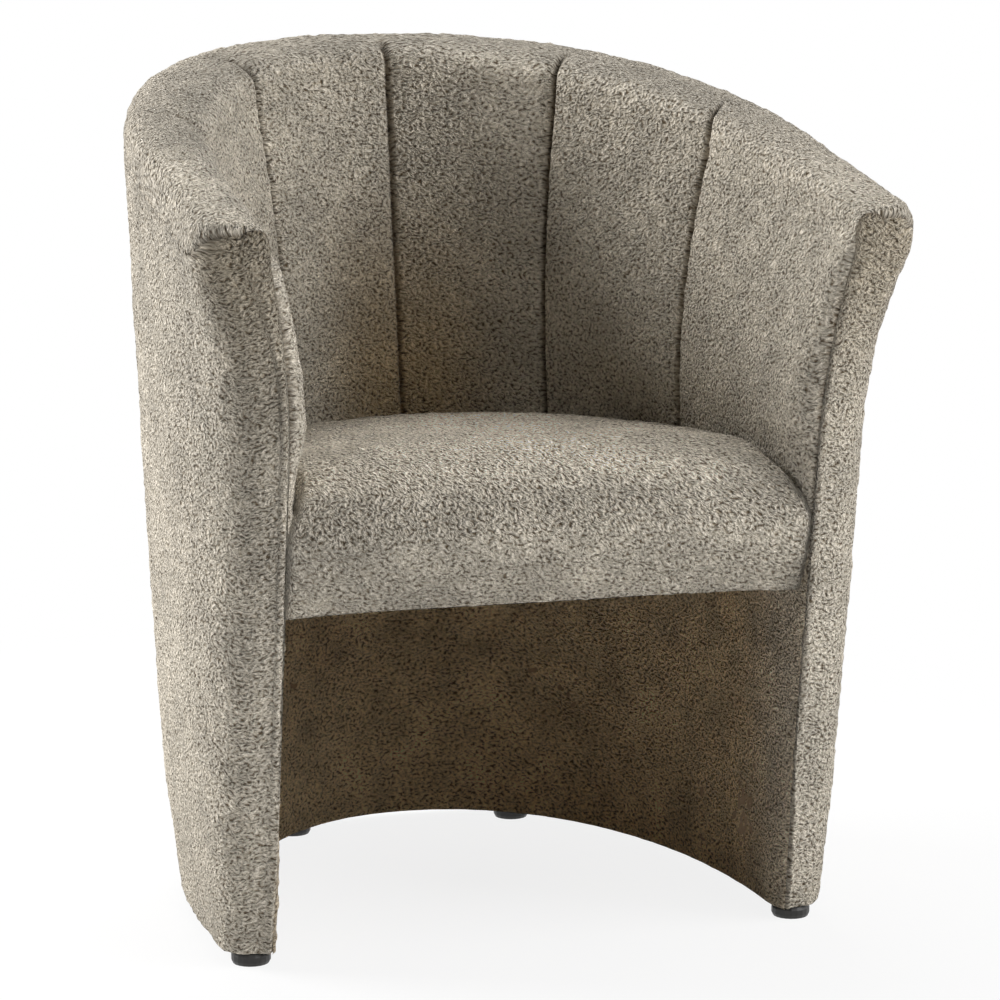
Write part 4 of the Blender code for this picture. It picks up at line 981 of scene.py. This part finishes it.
def seat_painted_light_and_shade(points):
    """What the seat's colour is multiplied by: more on top, as painted light and sheen, and less low on the
    left, as painted shade.
    """
    x, z = points[:, :1], points[:, 2:]
    middling = TOP_LIGHT_LEAST + (1 - TOP_LIGHT_LEAST) * bell(x - TOP_LIGHT_X, TOP_LIGHT_HALF_WIDTH)
    painted_top_light = 1 + TOP_PAINTED_LIGHT * middling * step_up(z, *TOP_LIGHT_HEIGHTS)
    shade = SEAT_SHADE * step_up(-x, *SEAT_SHADE_LEFT) * (1 - step_up(z, *SEAT_SHADE_HEIGHTS))
    return painted_top_light * (1 - shade)


def build_seat():
    """The crowned seat cushion, hollow below for the spring frame."""
    grid, cloth = seat_grid()
    out = normals_of(grid, closed=True)
    out *= np.sign(out[-SEAT_TOP_ROWS // 4, 0, 2])
    face = grid + out * (unevenness(grid) - hem_dip(arc(grid, 0)))[..., None]
    rings, columns = face.shape[:2]
    plan = seat_outline(SEAT_BOTTOM, SEAT_CLOTH + HEM_ROUND)
    inside = np.column_stack([plan, np.full(columns, SEAT_BOTTOM + SEAT_FOLD)])
    ceiling = np.column_stack([plan, np.full(columns, SEAT_FLOOR)])
    middle = face[-1].mean(axis=0, keepdims=True)
    points = np.concatenate([face.reshape(-1, 3), inside, ceiling, middle])
    cloth_middle = cloth[-1].mean(axis=0, keepdims=True)
    cloth = np.concatenate([cloth.reshape(-1, 2), cloth[0], cloth[0], cloth_middle])
    first_inside = rings * columns
    first_last = first_inside - columns
    lower = np.arange(columns)
    following = np.roll(lower, -1)
    top = np.full(columns, len(points) - 1)
    fan = np.stack([lower + first_last, following + first_last, top], axis=1)
    fold = np.stack([following, lower, lower + first_inside, following + first_inside], axis=1)
    skirt = grid_faces(2, columns, first_inside, closed=True)[:, ::-1]
    lid = (lower + first_inside + columns)[None, ::-1]
    faces = [grid_faces(rings, columns, closed=True), fan, fold, skirt, lid]
    return mesh_piece("seat_upholstery", points, cloth, faces, smooth=2, tone_and_painted_light=seat_painted_light_and_shade(points))


def thin_sheet(name, face, cloth):
    """A sheet of black cloth over a grid of points, with its underside a little below."""
    rows, columns = face.shape[:2]
    under = face - np.array([0, 0, BLACK_CLOTH])
    count = rows * columns
    top = grid_faces(rows, columns)
    index = np.arange(count).reshape(rows, columns)
    rim = np.concatenate([index[0], index[1:, -1], index[-1, -2::-1], index[-2:0:-1, 0]])
    following = np.roll(rim, -1)
    edge = np.stack([rim, rim + count, following + count, following], axis=1)
    points = np.concatenate([face.reshape(-1, 3), under.reshape(-1, 3)])
    flat = np.concatenate([cloth.reshape(-1, 2)] * 2)
    faces = [top, top[:, ::-1] + count, edge]
    return mesh_piece(name, points, flat, faces, smooth=2, slot="black_cloth")


def build_dust_cloth():
    """Black cloth stretched under the seat's ring, a little inside the seat's lower edge."""
    edge = seat_outline(SEAT_BOTTOM, DUST_INSET, end_fill=0.0)
    half = edge[: len(edge) // 2 + 1]
    spans = np.linspace(-1, 1, DUST_ROWS)[:, None]
    plan = np.stack([half[:, 0] * spans, half[:, 1] + 0 * spans], axis=-1)
    depth = plan[..., 1]
    back = (depth - depth.min()) / (depth.max() - depth.min())
    slack = (1 - spans**2) * 4 * back * (1 - back)
    height, wave = DUST_WAVES
    z = SEAT_BOTTOM - DUST_DROP - DUST_SAG * slack + height * value_noise(plan @ np.eye(2, 3), wave)
    face = np.concatenate([plan, z[..., None]], axis=-1)
    return thin_sheet("dust_cloth", face, plan)


def build_bottom_cloth():
    """A strip of black cloth under the wall, round from one arm front to the other."""
    hem = np.full_like(PLACES, HEM_HEIGHT)
    outer_edge = outer_wall(PLACES, hem)
    inner_edge = inner_wall(PLACES, hem, lining=True)
    across = np.linspace(*STRIP_SHARES, STRIP_ROWS)[:, None, None]
    half = outer_edge + (inner_edge - outer_edge) * across
    half[..., 1] = np.maximum(half[..., 1], STRIP_INSET - slope(BASE_FRONT, TOP_FRONT, HEM_HEIGHT))
    height, wave = STRIP_WAVES
    half[..., 2] += STRIP_RISE + height * value_noise(half, wave)
    half = half[:, ::STRIP_PICK]
    return thin_sheet("bottom_cloth", mirrored(half), mirrored(cloth_places(half), (-1, 1)))


def dress_frame():
    """Give each node of the frame the finish of its slot."""
    for part in frame["record"]["subparts"]:
        node = bpy.data.objects.get(part["node"])
        if node is not None:
            node.data.materials.clear()
            node.data.materials.append(FINISHES[part["material_slot"]])


def seen_directly(tree):
    """1 for rays from the camera and for those that gloss and glass send on, and 0 for others."""
    light = tree_node(tree, "LightPath").outputs
    direct = maths(tree, "MAXIMUM", light["Is Camera Ray"], light["Is Glossy Ray"])
    return maths(tree, "MAXIMUM", direct, light["Is Transmission Ray"])


def build_floor():
    """A wide pale floor that is white to the camera and keeps a faint shadow round the chair."""
    mesh = bpy.data.meshes.new("floor")
    corners = ((-1, -1), (1, -1), (1, 1), (-1, 1))
    mesh.from_pydata([(x * FLOOR_REACH, y * FLOOR_REACH, -FLOOR_GAP) for x, y in corners], [], [(0, 1, 2, 3)])
    floor = bpy.data.objects.new("floor", mesh)
    material, tree, shader = new_material("pale_floor")
    tree.nodes.remove(shader)
    paint = tree_node(tree, "BsdfDiffuse", None, Color=FLOOR_COLOUR).outputs[0]
    glow = tree_node(tree, "Emission", None, Color=WHITE, Strength=1.0).outputs[0]
    place = tree_node(tree, "TexCoord").outputs["Object"]
    distance = tree_node(tree, "VectorMath", {"operation": "LENGTH"}, _0=place).outputs["Value"]
    nearness = maths(tree, "SUBTRACT", 1.0, maths(tree, "DIVIDE", distance, SHADOW_REACH))
    shade = tree_node(tree, "Clamp", None, Value=maths(tree, "MULTIPLY", nearness, SHADOW_SHARE)).outputs[0]
    seen = tree_node(tree, "MixShader", None, Fac=shade, _1=glow, _2=paint).outputs[0]
    both = tree_node(tree, "MixShader", None, Fac=seen_directly(tree), _1=paint, _2=seen).outputs[0]
    tree.links.new(both, tree.nodes["Material Output"].inputs["Surface"])
    mesh.materials.append(material)
    bpy.context.scene.collection.objects.link(floor)


def build_world():
    """Surroundings that are white to the camera and give the chair no light."""
    world = bpy.data.worlds.new("studio")
    world.use_nodes = True
    ground = world.node_tree.nodes["Background"]
    world.node_tree.links.new(seen_directly(world.node_tree), ground.inputs["Strength"])
    ground.inputs["Color"].default_value = WHITE
    bpy.context.scene.world = world


def soft_box(name, azimuth, elevation, power):
    """A square studio lamp on a ball round the chair, turned to it. Azimuth 0 is in front, 90 right."""
    turn, rise = math.radians(azimuth), math.radians(elevation)
    lamp = bpy.data.lights.new(name, "AREA")
    lamp.size = LAMP_SIZE
    lamp.energy = power
    box = bpy.data.objects.new(name, lamp)
    level, height = LAMP_DISTANCE * math.cos(rise), LAMP_DISTANCE * math.sin(rise)
    box.location = (level * math.sin(turn), -level * math.cos(turn), LAMP_AIM + height)
    box.rotation_euler = (math.pi / 2 - rise, 0, turn)
    bpy.context.scene.collection.objects.link(box)


def build_camera():
    """A long lens in front and to the left, a little above the chair."""
    data = bpy.data.cameras.new("camera")
    data.sensor_width = SENSOR_WIDTH
    data.lens = LENS
    camera = bpy.data.objects.new("camera", data)
    camera.location = CAMERA_PLACE
    camera.rotation_euler = (math.pi / 2 - CAMERA_DROP, 0, CAMERA_TURN)
    bpy.context.scene.collection.objects.link(camera)
    bpy.context.scene.camera = camera


inner, outer = build_tub()
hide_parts("inner_cover", "back_foam")
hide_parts("outer_cover", "wall_wadding")
lining = build_lining()
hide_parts("lining_cover")
seat = build_seat()
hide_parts("seat_cover", "seat_foam", "spring_felt")
dust_cloth = build_dust_cloth()
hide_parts("dust_cover")
bottom_cloth = build_bottom_cloth()
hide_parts("bottom_strip")
dress_frame()

build_floor()
build_world()
for name, aim_and_power in LAMPS.items():
    soft_box(name, *aim_and_power)
build_camera()
bpy.context.scene.view_settings.view_transform = "Standard"
